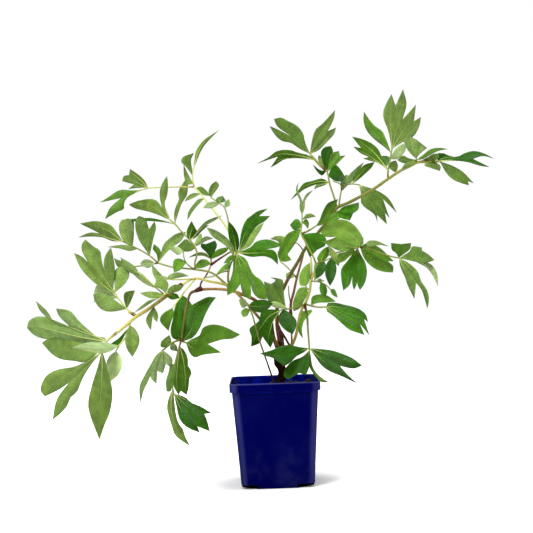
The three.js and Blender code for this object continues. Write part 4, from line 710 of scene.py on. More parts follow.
        257, 163.5), (278, 156.5, 270.5, 167.5), (277, 164, 284, 159.5, 295, 158)),
      blade(Tone.DEEP, 326.5, 171, -30, 30, (320, 170, 313, 164.5), (316, 170, 322, 175.5)),
      blade(Tone.DEEP, 326, 170, -62, 20, (322, 160, 321, 152, 324, 147.5, 331, 146), (333, 151,
        331, 158)),
      blade(Tone.MUTED, 327, 172, -58, -20, (329, 160, 332, 153, 339, 151), (340, 156,
        345.5, 155.5), (341, 160, 334, 167)),
      blade(Tone.DEEP, 328, 176, -26, -30, (331, 169, 336, 165, 341, 170, 345, 177), (342, 181,
        335, 181)),
      blade(Tone.OLIVE, 326, 171.5, -74, 20, (321, 166, 318, 159.5, 318.5, 155), (322, 157,
        325.5, 161, 328.5, 167)),
      blade(Tone.MUTED, 330, 183, -14, -20, (322, 178.5, 312, 181, 304, 183, 300, 188, 290.5, 200),
        (297, 195, 303, 190, 309, 187, 318, 184)),
      blade(Tone.PALE, 329.5, 183, -48, -20, (322, 183, 316, 184.8, 314, 189.5), (318, 187.5,
        324, 185.5))),
    spray("leaf_crest_middle", Bark.GREEN,
      stalk(1.2, (338.8, 207.5, -21), (340.3, 196, -30), (343, 187, -34), (351, 184, -34),
        (360, 185, -34)),
      stalk(0.9, (342, 190, -32), (340.5, 184.5, -32), (332.5, 181, -26)),
      blade(Tone.MUTED, 352, 184, -50, 20, (354, 178, 358, 172, 364, 165, 374.5, 162), (372, 167,
        366, 173, 358, 180)),
      blade(Tone.PALE, 350, 184, -54, 35, (347.5, 178, 355.5, 168.5, 364, 162), (358.5, 172)),
      blade(Tone.PALE, 341, 192.5, -50, 20, (340.5, 183, 341, 178, 346.5, 174.7), (351, 177,
        349, 183.5)),
      blade(Tone.GREY, 359, 185, -24, -10, (370, 188, 380, 192, 389, 199, 397, 213), (383, 199,
        389.5, 218), (385, 213, 387, 224.5), (377, 215, 377.5, 222.5), (374, 214, 367, 209,
        361, 203, 361, 194))),
    spray("leaf_crest_lower", Bark.GREEN,
      stalk(1.2, (336, 209.5, -20.5), (338, 211.5, -12)),
      blade(Tone.DARK, 338, 211.5, 0, -25, (343, 206.8, 350, 204.6, 359, 202.3), (358.5, 209,
        353, 213.5, 350, 220.5), (346, 219.5, 340, 217.5)),
      blade(Tone.BRIGHT, 337.3, 211.3, -14, 20, (332.5, 214, 327.5, 219, 326, 223.5), (334, 221,
        340.5, 217.5))),
    spray("leaf_top_right", Bark.GREEN,
      stalk(1.3, (388, 179, 0), (388, 171, -6), (390, 160, -14), (392, 149, -20)),
      blade(Tone.MUTED, 388, 170, -28, -20, (380, 163.5, 372, 161.5, 363, 158.5), (369, 157,
        361, 153.5, 353, 146.5), (361, 148, 352, 136.5), (362, 139, 372, 143.5, 378, 149,
        382, 157)),
      blade(Tone.MUTED, 391, 153, -46, -15, (383, 146, 374, 139, 367, 131, 363.5, 121, 364, 111.5),
        (369, 119, 375, 126, 382, 131, 386, 139)),
      blade(Tone.OLIVE, 392, 149, -64, 15, (388, 130, 384, 120, 383, 112, 386, 104, 391.5, 94),
        (395.5, 105.5, 403, 89), (406.5, 104, 402.5, 119.5, 416, 104.5), (414, 121, 421, 117),
        (419, 127, 413, 137, 403, 142)),
      blade(Tone.LEMON, 390, 159, 0, -30, (394, 151, 399, 146, 404, 143.5), (406, 148, 403, 154,
        397, 159)),
      blade(Tone.OLIVE, 388.5, 168, 4, 20, (391, 162, 396, 160.5), (398, 166, 395.5, 172)),
      blade(Tone.DARK, 389.3, 163.5, -44, 30, (385.5, 166, 382, 161, 381.5, 156), (387, 156,
        390, 158))),
    spray("leaf_far_right_inner", Bark.GREEN,
      stalk(1.3, (416, 163, 13.5), (416.5, 159, 16)),
      blade(Tone.OLIVE, 416.5, 159, -4, 15, (410, 153, 405, 145, 404, 138, 410, 136.5), (417, 140,
        427, 148), (422, 152, 418, 156)),
      blade(Tone.MUTED, 416.5, 160, 30, -30, (423, 155, 430, 149.5, 438, 147.8, 448, 149),
        (438, 151, 430, 155, 423, 159)),
      blade(Tone.GREY, 416.5, 160, 30, 30, (408, 158, 403, 155.5, 397, 160), (403, 163, 410, 163)),
      blade(Tone.LIGHT, 416.5, 160.5, 40, 10, (411, 161.5, 405, 163.5, 401, 169.5), (407, 167.5,
        414, 164))),
    spray("leaf_far_right", Bark.GREEN,
      stalk(1.4, (432, 161.7, 18.5), (441, 161.5, 22)),
      blade(Tone.DEEP, 438, 161.5, 64, -35, (436, 154, 443, 153, 450, 156, 457, 157, 465, 153,
        474, 151, 483, 153, 494, 158.6), (483, 156, 473, 158.8, 489.5, 167), (481, 166, 474, 164,
        467, 162, 452, 160.5)),
      blade(Tone.GREY, 440, 161.5, 36, -15, (448, 164, 456, 167.5, 463, 172, 474, 183.5),
        (468, 181, 469, 185.5), (461, 183, 453, 179.5, 447, 174)),
      blade(Tone.OLIVE, 434, 161.8, 34, -30, (425, 163.5, 424.5, 165.5, 431, 168, 440, 171),
        (440.5, 166)),
      blade(Tone.LIGHT, 433, 161.7, 44, 20, (427, 161.7, 421.5, 161, 428, 157, 433, 154,
        438, 153.5), (439, 157.5))),
)


@dataclass
class Draft:
    """A mesh in the making, gathered shell by shell."""

    points: list[np.ndarray] = field(default_factory=list)
    tones: list[np.ndarray] = field(default_factory=list)
    faces: Faces = field(default_factory=list)
    finishes: list[int] = field(default_factory=list)
    rounded: list[bool] = field(default_factory=list)
    veins: list[Point] = field(default_factory=list)
    start: int = 0
    count: int = 0

    def add(self, points: np.ndarray, tones: np.ndarray) -> None:
        """Adds the points of a shell.

        Args:
            points: The points, one row of metres each.
            tones: One linear colour for each point, or one for all of them.
        """
        self.start = self.count
        self.points.append(points)
        self.tones.append(np.broadcast_to(tones, points.shape))
        self.count += len(points)

    def cover(self, faces: Faces, finish: int, rounded: bool = True,
              veins: list[Point] | None = None) -> None:
        """Adds faces to the shell whose points were added last.

        Args:
            faces: The faces, as numbers of points of that shell.
            finish: The number of the material that they take.
            rounded: Whether they are shaded as one smooth surface.
            veins: Three numbers for each corner of each face: how far it lies from the midrib
                and along it in millimetres, and from the midrib to the edge as a share.
        """
        self.faces += [tuple(self.start + number for number in face) for face in faces]
        self.finishes += [finish] * len(faces)
        self.rounded += [rounded] * len(faces)
        self.veins += veins or [NO_VEIN] * sum(len(face) for face in faces)

    def make(self, name: str, *materials: bpy.types.Material) -> bpy.types.Object:
        """Builds the object.

        Args:
            name: The piece's name.
            materials: Its materials, in the order of the finish numbers.

        Returns:
            The new object, with a tone for each point and veins for each corner.
        """
        mesh = bpy.data.meshes.new(name)
        mesh.from_pydata(np.vstack(self.points).tolist(), [], self.faces)
        mesh.polygons.foreach_set("material_index", self.finishes)
        mesh.polygons.foreach_set("use_smooth", self.rounded)
        tone = mesh.color_attributes.new("tone", "FLOAT_COLOR", "POINT")
        colours = np.vstack(self.tones) / LIGHT_ON_PLANT
        tone.data.foreach_set("color", np.column_stack([colours, np.ones(len(colours))]).ravel())
        veins = mesh.attributes.new("veins", "FLOAT_VECTOR", "CORNER")
        veins.data.foreach_set("vector", np.array(self.veins, float).ravel())
        for material in materials:
            mesh.materials.append(material)
        mesh.validate()
        return linked(name, mesh)


class Graph:
    """A material's nodes, with short ways to add those that the finishes share."""

    def __init__(self, name: str) -> None:
        """Starts a material with one shader.

        Args:
            name: The material's name.
        """
        self.material = bpy.data.materials.new(name)
        self.material.use_nodes = True
        self.tree = self.material.node_tree
        self.shader = self.tree.nodes["Principled BSDF"]

    def node(self, kind: str, inputs: dict[str | int, object] | None = None,
             **settings: object) -> bpy.types.Node:
        """Adds a node.

        Args:
            kind: The node's type, without the ShaderNode that every type starts with.
            inputs: A value or another node's socket for some of its inputs.
            settings: Its other settings.

        Returns:
            The new node.
        """
        made = self.tree.nodes.new(f"ShaderNode{kind}")
        for key, value in settings.items():
            setattr(made, key, value)
        for key, value in (inputs or {}).items():
            self.feed(made.inputs[key], value)
        return made

    def feed(self, socket: Socket, value: object) -> None:
        """Sets an input to a value, or links it to a socket.

        Args:
            socket: The input.
            value: A number, a colour of three numbers or another node's socket.
        """
        if isinstance(value, Socket):
            self.tree.links.new(value, socket)
        elif isinstance(value, tuple) and len(value) == 3 and socket.type == "RGBA":
            socket.default_value = (*value, 1)
        else:
            socket.default_value = value

    def math(self, operation: str, *values: object) -> Socket:
        """Adds a sum on one to three values, and returns its result."""
        return self.node("Math", dict(enumerate(values)), operation=operation).outputs[0]

    def product(self, first: object, second: object) -> Socket:
        """Multiplies two values."""
        return self.math("MULTIPLY", first, second)

    def tone(self) -> Socket:
        """Returns the colour that the mesh carries at each point."""
        return self.node("Attribute", attribute_name="tone").outputs["Color"]

    def axes(self, vector: Socket | None = None) -> tuple[Socket, Socket, Socket]:
        """Returns the three numbers of a vector, or else of the place in the object's space."""
        vector = vector or self.node("TexCoord").outputs["Object"]
        return tuple(self.node("SeparateXYZ", {0: vector}).outputs)

    def noise(self, scale: float, detail: float = 3, stretch: Colour = (1, 1, 1),
              distortion: float = 0) -> Socket:
        """Adds a noise in the object's own space.

        Args:
            scale: How many grains there are in a metre.
            detail: How many finer layers it has.
            stretch: How much closer its grains lie along each axis.
            distortion: How far its grains are dragged.

        Returns:
            The noise's value, from 0 to 1.
        """
        at = self.node("TexCoord").outputs["Object"]
        scaled = self.node("Mapping", {"Vector": at, "Scale": stretch}).outputs[0]
        return self.node("TexNoise", {"Vector": scaled, "Scale": scale, "Detail": detail,
                                      "Distortion": distortion}).outputs["Fac"]

    def span(self, value: object, low: float, high: float, start: float = 0,
             end: float = 1) -> Socket:
        """Eases a value's stretch from low to high into one from start to end."""
        return self.node("MapRange", {"Value": value, "From Min": low, "From Max": high,
                                      "To Min": start, "To Max": end},
                         interpolation_type="SMOOTHSTEP").outputs[0]

    def mix(self, share: object, first: object, second: object, blend: str = "MIX") -> Socket:
        """Mixes two colours, with the given share of the second."""
        return self.node("Mix", {0: share, 6: first, 7: second}, data_type="RGBA",
                         blend_type=blend).outputs[2]

    def tinted(self, colour: object, tint: object) -> Socket:
        """Multiplies a colour by another."""
        return self.mix(1.0, colour, tint, "MULTIPLY")

    def shaded(self, colour: object, light: object) -> Socket:
        """Makes a colour lighter or darker by a factor."""
        factor = self.node("CombineColor", {0: light, 1: light, 2: light}).outputs[0]
        return self.tinted(colour, factor)

    def bump(self, height: object, depth: float, under: Socket | None = None) -> Socket:
        """Adds a relief of a depth in metres, on top of another if there is one."""
        inputs = {"Height": height, "Distance": depth, "Strength": 1.0}
        return self.node("Bump", inputs | ({"Normal": under} if under else {})).outputs[0]

    def finish(self, colour: object, roughness: object, relief: object = None,
               **fixed: float) -> bpy.types.Material:
        """Connects the shader, and returns the material.

        Args:
            colour: The base colour.
            roughness: The roughness.
            relief: The relief, if there is one.
            fixed: Values set on the shader's own sockets, with _ for each space in their names.

        Returns:
            The finished material.
        """
        self.feed(self.shader.inputs["Base Color"], colour)
        self.feed(self.shader.inputs["Roughness"], roughness)
        if relief:
            self.feed(self.shader.inputs["Normal"], relief)
        for key, value in fixed.items():
            self.shader.inputs[key.replace("_", " ")].default_value = value
        return self.material


@dataclass(frozen=True)
class LeafFinish:
    """One side of a leaf: a mottled tone, with a midrib and side veins.

    Each fade says where a vein starts to fade and where it has gone: a side vein as a share of
    the gap between two and of the way to the edge, and the midrib in millimetres from its middle.
    """

    name: str
    roughness: float
    specular: float
    midrib_share: float
    vein_share: float
    vein_relief: float
    vein_tint: Colour
    vein_gap: float = 6.0
    vein_slant: float = 1.15
    vein_wander: float = 5.0
    vein_fade: Pair = (0.02, 0.1)
    edge_fade: Pair = (0.5, 0.95)
    midrib_fade: Pair = (0.2, 0.7)
    mottle: Pair = (0.78, 1.16)
    patches: float = 0.4
    patch_tint: Colour = (1.25, 1.1, 0.7)
    vein_depth: float = 0.0005
    grain_depth: float = 0.00012

    def material(self) -> bpy.types.Material:
        """Builds the material, and returns it."""
        graph = Graph(self.name)
        tone = graph.tone()
        aside, along, share = graph.axes(
            graph.node("Attribute", attribute_name="veins").outputs["Vector"])
        wander = graph.product(graph.noise(60, 2), self.vein_wander)
        slanted = graph.math("SUBTRACT", along, graph.product(aside, self.vein_slant))
        gaps = graph.math("DIVIDE", graph.math("ADD", slanted, wander), self.vein_gap)
        in_gap = graph.math("SUBTRACT", graph.math("FRACT", gaps), 0.5)
        from_vein = graph.math("ABSOLUTE", in_gap)
        side_vein = graph.product(graph.span(from_vein, *self.vein_fade, 1, 0),
                                  graph.span(share, *self.edge_fade, 1, 0))
        midrib = graph.span(aside, *self.midrib_fade, 1, 0)
        colour = graph.shaded(tone, graph.span(graph.noise(90, 4), 0.3, 0.7, *self.mottle))
        patch = graph.span(graph.noise(26, 2), 0.35, 0.75, 0, self.patches)
        colour = graph.mix(patch, colour, graph.tinted(colour, self.patch_tint))
        pale = graph.tinted(tone, self.vein_tint)
        colour = graph.mix(graph.product(side_vein, self.vein_share), colour, pale)
        colour = graph.mix(graph.product(midrib, self.midrib_share), colour, pale)
        tissue = graph.product(graph.math("MAXIMUM", side_vein, midrib), self.vein_relief)
        relief = graph.bump(graph.noise(900), self.grain_depth,
                            graph.bump(tissue, self.vein_depth))
        rough = graph.span(graph.noise(240), 0.3, 0.7, self.roughness - 0.07,
                           self.roughness + 0.1)
        return graph.finish(colour, rough, relief, Specular_IOR_Level=self.specular)


@dataclass(frozen=True)
class BarkFinish:
    """The skin of stems and stalks: its tone, streaked along and speckled with pores."""

    name: str
    roughness: float
    streaks: float
    depth: float
    fleck: Colour
    specular: float = 0.06
    flecks: float = 0.6

    def material(self) -> bpy.types.Material:
        """Builds the material, and returns it."""
        graph = Graph(self.name)
        streak = graph.noise(420, 4, (1, 1, 0.2), 0.6)
        shade = graph.span(streak, 0.25, 0.75, 1 - self.streaks, 1 + self.streaks)
        fleck = graph.span(graph.noise(700, 2), 0.62, 0.72, 0, self.flecks)
        colour = graph.mix(fleck, graph.shaded(graph.tone(), shade), self.fleck)
        relief = graph.bump(graph.noise(1400), self.depth / 2, graph.bump(streak, self.depth))
        rough = graph.span(streak, 0.3, 0.7, self.roughness - 0.1, self.roughness + 0.1)
        return graph.finish(colour, rough, relief, Specular_IOR_Level=self.specular)


@dataclass(frozen=True)
class PlasticFinish:
    """Moulded blue plastic, scuffed in patches and dusty low on its sides. Painted highlights make
    its rounded corners and the top of its rim paler, painted light makes its inner walls a
    brighter blue in patches, and painted shade makes the notches in its foot black.

    The sizes below the colours are in metres, and tell the outside of the walls from the inside.
    """

    name: str = "blue_plastic"
    colour: Colour = (0.0, 0.0001, 0.031)
    worn: Colour = (0.002, 0.003, 0.045)
    # Paler grey-blue: the dust low on the sides, and the painted highlight down the rounded
    # corners
    dust_and_highlight: Colour = (0.013, 0.014, 0.07)
    # The painted highlight along the top of the rim
    lip: Colour = (0.035, 0.035, 0.11)
    # Painted light: the brighter blue of the inner walls, as if lit through the thin plastic
    inside: Colour = (0.0008, 0.005, 0.16)
    in_shade: Colour = (0.0, 0.0, 0.0002)
    roughness: float = 0.3
    specular: float = 0.004
    base_half: float = 0.053
    corner: float = 0.012
    slope: float = 0.068
    skirt_top: float = 0.139
    skirt_out: float = 0.0015
    skin: float = 0.0007
    notch_top: float = 0.0068
    lip_highlight_heights: Pair = (0.1508, 0.1528)
    dust_heights: Pair = (0.02, 0.09)
    warp: float = 0.0006
    grain: float = 0.00005

    def within(self, graph: Graph, sides: tuple[Socket, Socket], height: Socket) -> Socket:
        """Finds what lies inside the walls.

        Args:
            graph: The material's nodes.
            sides: How far the place is from the middle, across and deep.
            height: How high it is.

        Returns:
            1 inside the rounded square of the walls, and 0 on their outside.
        """
        wall = graph.math("MULTIPLY_ADD", height, self.slope, self.base_half - self.corner)
        skirt = graph.product(graph.math("GREATER_THAN", height, self.skirt_top), self.skirt_out)
        middle = graph.math("ADD", wall, skirt)
        beyond = [graph.math("MAXIMUM", graph.math("SUBTRACT", side, middle), 0.0)
                  for side in sides]
        out = graph.math("SQRT", graph.math("MULTIPLY_ADD", beyond[0], beyond[0],
                                            graph.product(beyond[1], beyond[1])))
        return graph.math("LESS_THAN", out, self.corner - self.skin)

    def material(self) -> bpy.types.Material:
        """Builds the material, and returns it."""
        graph = Graph(self.name)
        *flat, height = graph.axes()
        sides = tuple(graph.math("ABSOLUTE", axis) for axis in flat)
        corner = graph.math("DIVIDE", graph.math("MINIMUM", *sides),
                            graph.math("MAXIMUM", *sides))
        within = self.within(graph, sides, height)
        cloud = graph.span(graph.noise(16, 4), 0.4, 0.75, 0, 0.3)
        scuff = graph.span(graph.noise(160, 5, (1, 1, 0.15), 1.2), 0.58, 0.8, 0, 0.5)
        colour = graph.mix(graph.math("MAXIMUM", cloud, scuff), self.colour, self.worn)
        dust = graph.product(graph.span(graph.noise(45, 5), 0.4, 0.8),
                             graph.span(height, *self.dust_heights, 0.3, 0))
        colour = graph.mix(dust, colour, self.dust_and_highlight)
        # Painted highlight: paler streaky bands down the rounded corners, where the plastic would
        # catch the light
        corner_highlight = graph.product(graph.span(corner, 0.78, 0.92),
                             graph.span(graph.noise(60, 4, (1, 1, 0.12)), 0.3, 0.62, 0.35, 1))
        colour = graph.mix(corner_highlight, colour, self.dust_and_highlight)
        # Painted highlight: a paler line along the top of the rim
        colour = graph.mix(graph.span(height, *self.lip_highlight_heights, 0, 0.8), colour, self.lip)
        # Painted light: patches of brighter blue on the inner walls, as light through the thin
        # plastic; wet is only the noise that places these patches
        wet = graph.span(graph.noise(90, 4), 0.35, 0.7, 0.15, 1)
        colour = graph.mix(graph.product(within, wet), colour, self.inside)
        shade = graph.product(within, graph.math("LESS_THAN", height, self.notch_top))
        colour = graph.mix(shade, colour, self.in_shade)
        relief = graph.bump(graph.noise(30, 2), self.warp,
                            graph.bump(graph.noise(1800, 2), self.grain))
        rough = graph.span(graph.noise(120, 4), 0.3, 0.7, self.roughness - 0.06,
                           self.roughness + 0.14)
        return graph.finish(colour, rough, relief, Specular_IOR_Level=self.specular)


@dataclass(frozen=True)
class SoilFinish:
    """Damp potting soil, dark and crumbly, with pale fibres in it."""

    name: str = "potting_soil"
    shades: Pair = (0.55, 1.35)
    fibre: Colour = linear(110, 84, 56)
    depth: float = 0.0012
    grain: float = 0.0004
    specular: float = 0.2

    def material(self) -> bpy.types.Material:
        """Builds the material, and returns it."""
        graph = Graph(self.name)
        clod = graph.noise(320, 5)
        colour = graph.shaded(graph.tone(), graph.span(clod, 0.25, 0.8, *self.shades))
        fibre = graph.span(graph.noise(900, 3, (1, 0.3, 1), 1.5), 0.66, 0.76, 0, 0.5)
        colour = graph.mix(fibre, colour, self.fibre)
        relief = graph.bump(graph.noise(1500, 4), self.grain, graph.bump(clod, self.depth))
        return graph.finish(colour, graph.span(clod, 0.3, 0.7, 0.95, 0.75), relief,
                            Specular_IOR_Level=self.specular)


@dataclass(frozen=True)
class FloorFinish:
    """The pale floor, darker round the pot so that the soft shade at its foot can be seen."""

    name: str = "pale_floor"
    colour: Colour = (1.0, 1.0, 1.0)
    near_pot: Colour = (0.56, 0.56, 0.565)
    reach: Pair = (0.06, 0.16)
    cloud: Colour = (0.5, 0.5, 0.55)
    cloud_share: float = 0.015
    roughness: float = 0.9

    def material(self) -> bpy.types.Material:
        """Builds the material, and returns it."""
        graph = Graph(self.name)
        at = graph.node("TexCoord").outputs["Object"]
        out = graph.node("VectorMath", {0: at}, operation="LENGTH").outputs["Value"]
        colour = graph.mix(graph.span(out, *self.reach), self.near_pot, self.colour)
        cloud = graph.product(graph.span(graph.noise(3, 2), 0.3, 0.7), self.cloud_share)
        colour = graph.mix(cloud, colour, self.cloud)
        return graph.finish(colour, self.roughness, Specular_IOR_Level=0.0)


@dataclass(frozen=True)
class Tube:
    """A round bar along a line, with its own radius and colour at each point."""

    sides: int
    uneven: float = 0.0
    lumps_per_metre: float = 110
    start_cap: float = 0.4
    end_cap: float = 0.6

    def add(self, draft: Draft, line: np.ndarray, radii: np.ndarray, tones: np.ndarray,
            finish: int) -> None:
        """Adds the bar to a mesh as one closed shell.

        Args:
            draft: The mesh.
            line: The bar's middle line in metres, one point a row.
            radii: Its radius at each point in metres.
            tones: Its linear colour at each point.
            finish: The number of its material.
        """
        ways = np.gradient(line, axis=0)
        ways /= np.linalg.norm(ways, axis=1)[:, None]
        across = np.cross(ways[0], (0.36, 0.48, 0.8))
        angles = np.arange(self.sides) * FULL_TURN / self.sides
        rings = []
        for centre, way, radius in zip(line, ways, radii):
            across = across - way * across.dot(way)
            across /= np.linalg.norm(across)
            other = np.cross(way, across)
            out = np.outer(np.cos(angles), across) + np.outer(np.sin(angles), other)
            if self.uneven:
                lumps = [1 + self.uneven * noise.noise(
                    Vector(centre + each * radius) * self.lumps_per_metre) for each in out]
                out = out * np.array(lumps)[:, None]
            rings.append(centre + out * radius)
        points, faces = lofted(rings, np.array([line[0] - ways[0] * radii[0] * self.start_cap,
                                                line[-1] + ways[-1] * radii[-1] * self.end_cap]))
        skin = np.vstack([np.repeat(tones, self.sides, axis=0), tones[0], tones[-1]])
        draft.add(points, skin)
        draft.cover(faces, finish)


@dataclass(frozen=True)
class Half:
    """One half of a lobe, as rows of u, v points from the blade's base to the lobe's tip.

    A seam is the number of the notch up to which the half joins its neighbour. The widths run
    from the midrib to the edge in pixels, and lift is the width that sets how high it folds.
    """

    lobe: int
    left: bool
    midrib: np.ndarray
    edge: np.ndarray
    seam: int | None
    widths: np.ndarray
    lift: np.ndarray
    reached: np.ndarray


@dataclass(frozen=True)
class Plane:
    """The slanting plane that a blade hangs in, from its root to its farthest tip."""

    root: np.ndarray
    axis: np.ndarray
    length: float
    slope: float
    tilt: float

    @property
    def across(self) -> np.ndarray:
        """The way from the blade's axis to its left half."""
        return np.array([self.axis[1], -self.axis[0]])

    def near(self, places: np.ndarray) -> np.ndarray:
        """Returns how near the plane lies at each u, v."""
        rise = self.slope * self.axis + self.tilt * self.across
        return self.root[2] + (places - self.root[:2]) @ rise

    def share(self, at: np.ndarray) -> float:
        """Returns how far along the blade a place lies, from 0 at its root to 1."""
        return min(max(float((at - self.root[:2]) @ self.axis) / self.length, 0), 1)

    def upper(self) -> np.ndarray:
        """Returns the way out of the plane's upper side."""
        corner = self.root[:2] + 20 * np.array([(0, 0), self.axis, self.across])
        flat = VIEW.seen(np.column_stack([corner, self.near(corner)]))
        way = np.cross(flat[1] - flat[0], flat[2] - flat[0])
        return way / (np.linalg.norm(way) * (1 if way[2] > 0 else -1))


class Whims:
    """The small things that set one blade apart from the next."""

    def __init__(self, seed: int) -> None:
        """Draws them, always in this order.

        Args:
            seed: The blade's own number.
        """
        draw = random.Random(seed)
        self.phase, self.pace = draw.uniform(0, 6.28), draw.uniform(0.16, 0.26)
        self.shade, self.dark_tip = draw.uniform(0.94, 1.06), draw.uniform(0.3, 1.3)
        self.fold_shade = draw.uniform(-0.22, 0.22)


@dataclass
class Sheet:
    """The middle of a blade as it is laid point by point, each at a place u, v.

    A lift is how far a point rises out of the blade's plane in millimetres, and a depth is how
    light it is. The numbers tell which points are there already.
    """

    plane: Plane
    whims: Whims
    places: list[np.ndarray]
    lifts: list[float]
    depths: list[float]
    numbers: dict[tuple, int] = field(default_factory=dict)
    faces: Faces = field(default_factory=list)
    veins: list[list[Point]] = field(default_factory=list)

    def turn_over(self) -> None:
        """Makes the faces look the other way."""
        self.faces = [face[::-1] for face in self.faces]
        self.veins = [corners[::-1] for corners in self.veins]

    def corners(self) -> list[Point]:
        """Returns the vein numbers of every corner, face by face."""
        return [numbers for corners in self.veins for numbers in corners]

    def normals(self, points: np.ndarray) -> np.ndarray:
        """Finds the smooth normals of the sheet.

        Args:
            points: Where its points are in space.

        Returns:
            A row for each of them.
        """
        normals = np.zeros_like(points)
        for face in self.faces:
            a, b, c = points[face[0]], points[face[1]], points[face[2]]
            way = np.cross(b - a, c - a)
            if len(face) == 4:
                way = way + np.cross(c - a, points[face[3]] - a)
            normals[list(face)] += way
        return normals / np.maximum(np.linalg.norm(normals, axis=1), 1e-12)[:, None]

    def rim(self) -> Faces:
        """Returns the faces that join the blade's two sides along the sheet's open edge."""
        count = len(self.places)
        edges = {(a, b) for face in self.faces for a, b in zip(face, face[1:] + face[:1])}
        return [(b, a, a + count, b + count) for a, b in sorted(edges) if (b, a) not in edges]


@dataclass(frozen=True)
class BladeMaker:
    """Turns a blade's outline into a thin, folded and veined leaf with two sides and a rim.

    A lobe is split into rows from base to tip, of which the middle one lies at its notch, and
    each half of it into columns. Fold, arch and curl are shares of the width or the length, and
    thickness and wave are millimetres.
    """

    rows: int = 16
    columns: int = 4
    edge_steps: int = 6
    root_steps: int = 8
    smoothings: int = 3
    thickness: float = 0.35
    fold: float = 0.16
    arch: float = 0.05
    wave: float = 0.9
    wave_width: float = 6
    curl: float = 0.03
    waist_limits: Pair = (0.2, 0.8)
    steepest: float = 0.55
    base_light: float = 1.12
    light: float = 1.1
    tip_shade: float = 0.3
    edge_shade: float = 0.06
    in_shade: Colour = (0.6, 0.72, 0.5)
    under_side: Colour = linear(156, 176, 130)
    under_share: float = 0.45
    rib_sides: int = 6
    rib_base: Colour = linear(206, 212, 132)
    rib_tint: Colour = (1.3, 1.22, 1.25)
    rib_tip: float = 0.14
    rib_limit: float = 1.15

    @property
    def waist(self) -> int:
        """The row that lies at the notches."""
        return self.rows // 2

    def root_of(self, form: Blade, stalks: tuple[Stalk, ...]) -> np.ndarray:
        """Finds where a blade grows from its spray's stalks.

        Args:
            form: The blade.
            stalks: The stalks that may carry it.

        Returns:
            The nearest stalk point to the blade's base, as u, v and near.
        """
        places = np.vstack([smooth_line(np.array(each.points, float),
                                        self.root_steps * len(each.points)) for each in stalks])
        gaps = np.linalg.norm(places[:, :2] - form.base, axis=1)
        return places[gaps.argmin()]

    def edge_rows(self, base: np.ndarray, edge: np.ndarray, waist: float,
                  seam: bool) -> np.ndarray:
        """Spaces the rows of one side of a lobe.

        Args:
            base: The blade's base.
            edge: The outline's points on that side, up to the tip.
            waist: How far along the lobe its notch lies.
            seam: Whether the side starts at a notch, up to which it is a straight seam.

        Returns:
            The side's point for each row, from the base to the tip.
        """
        beyond = np.arange(self.rows + 1) / self.waist - 1
        if seam:
            line = smooth_line(edge, self.edge_steps * (len(edge) - 1))
            inner = base + np.outer(np.arange(self.waist) / self.waist, edge[0] - base)
            return np.vstack([inner, along_line(line, beyond[self.waist:])])
        whole = np.vstack([base, edge])
        line = smooth_line(whole, self.edge_steps * (len(whole) - 1))
        shares = np.where(beyond < 0, waist * (1 + beyond), waist + (1 - waist) * beyond)
        return along_line(line, shares)

    def halves_of(self, base: np.ndarray, form: Blade) -> list[Half]:
        """Splits a blade's outline into the halves of its lobes.

        Args:
            base: Where the blade grows from, as u and v.
            form: The blade.

        Returns:
            The left and right half of each lobe, in the order of the outline.
        """
        points, tips = np.array(form.outline, float), form.tips
        reach = np.linalg.norm(points - base, axis=1)
        notches = [a + 1 + int(reach[a + 1:b].argmin()) for a, b in zip(tips, tips[1:])]
        halves = []
        for i, tip in enumerate(tips):
            near = [reach[notch] / reach[tip] for notch in notches[max(0, i - 1):i + 1]]
            waist = min(max(sum(near) / len(near) if near else 0.5, self.waist_limits[0]),
                        self.waist_limits[1])
            left_seam = i - 1 if i > 0 else None
            right_seam = i if i < len(notches) else None
            start = 0 if left_seam is None else notches[left_seam]
            end = len(points) if right_seam is None else notches[right_seam] + 1
            left = self.edge_rows(base, points[start:tip + 1], waist, left_seam is not None)
            right = self.edge_rows(base, points[tip:end][::-1], waist, right_seam is not None)
            midrib = (left + right) / 2
            for _ in range(self.smoothings):
                midrib[1:-1] = midrib[1:-1] / 2 + (midrib[:-2] + midrib[2:]) / 4
            reached = lengths_along(midrib) * VIEW.per_pixel
            for is_left, edge, seam in ((True, left, left_seam), (False, right, right_seam)):
                widths = np.linalg.norm(edge - midrib, axis=1)
                halves.append(Half(i, is_left, midrib, edge, seam, widths, widths.copy(), reached))
        self.level_seams(halves)
        return halves

    def level_seams(self, halves: list[Half]) -> None:
        """Makes the two halves at a seam rise to the same height, and eases that out.

        Args:
            halves: A blade's halves, whose lift is changed.
        """
        shared: dict[int, np.ndarray] = {}
        for half in halves:
            if half.seam is not None:
                shared[half.seam] = (shared.get(half.seam, half.widths) + half.widths) / 2
        ease = np.linspace(1, 0, self.rows - self.waist + 1)[1:]
        for half in halves:
            if half.seam is not None:
                past = self.waist + 1
                half.lift[:past] = shared[half.seam][:past]
                half.lift[past:] += (half.lift[self.waist] - half.widths[self.waist]) * ease

    def lay(self, sheet: Sheet, half: Half) -> None:
        """Lays the squares of one half of a lobe into a blade's sheet.

        Args:
            sheet: The blade's sheet.
            half: The half.
        """
        for row in range(self.rows):
            for column in range(self.columns):
                square = [(row, column), (row, column + 1), (row + 1, column + 1),
                          (row + 1, column)]
                kept: dict[int, Point] = {}
                for at_row, at_column in square if half.left else square[::-1]:
                    share = at_column / self.columns
                    aside = half.widths[at_row] * share * VIEW.per_pixel
                    number = self.number(sheet, half, at_row, at_column)
                    kept.setdefault(number, (aside, half.reached[at_row], share))
                if len(kept) > 2:
                    sheet.faces.append(tuple(kept))
                    sheet.veins.append(list(kept.values()))

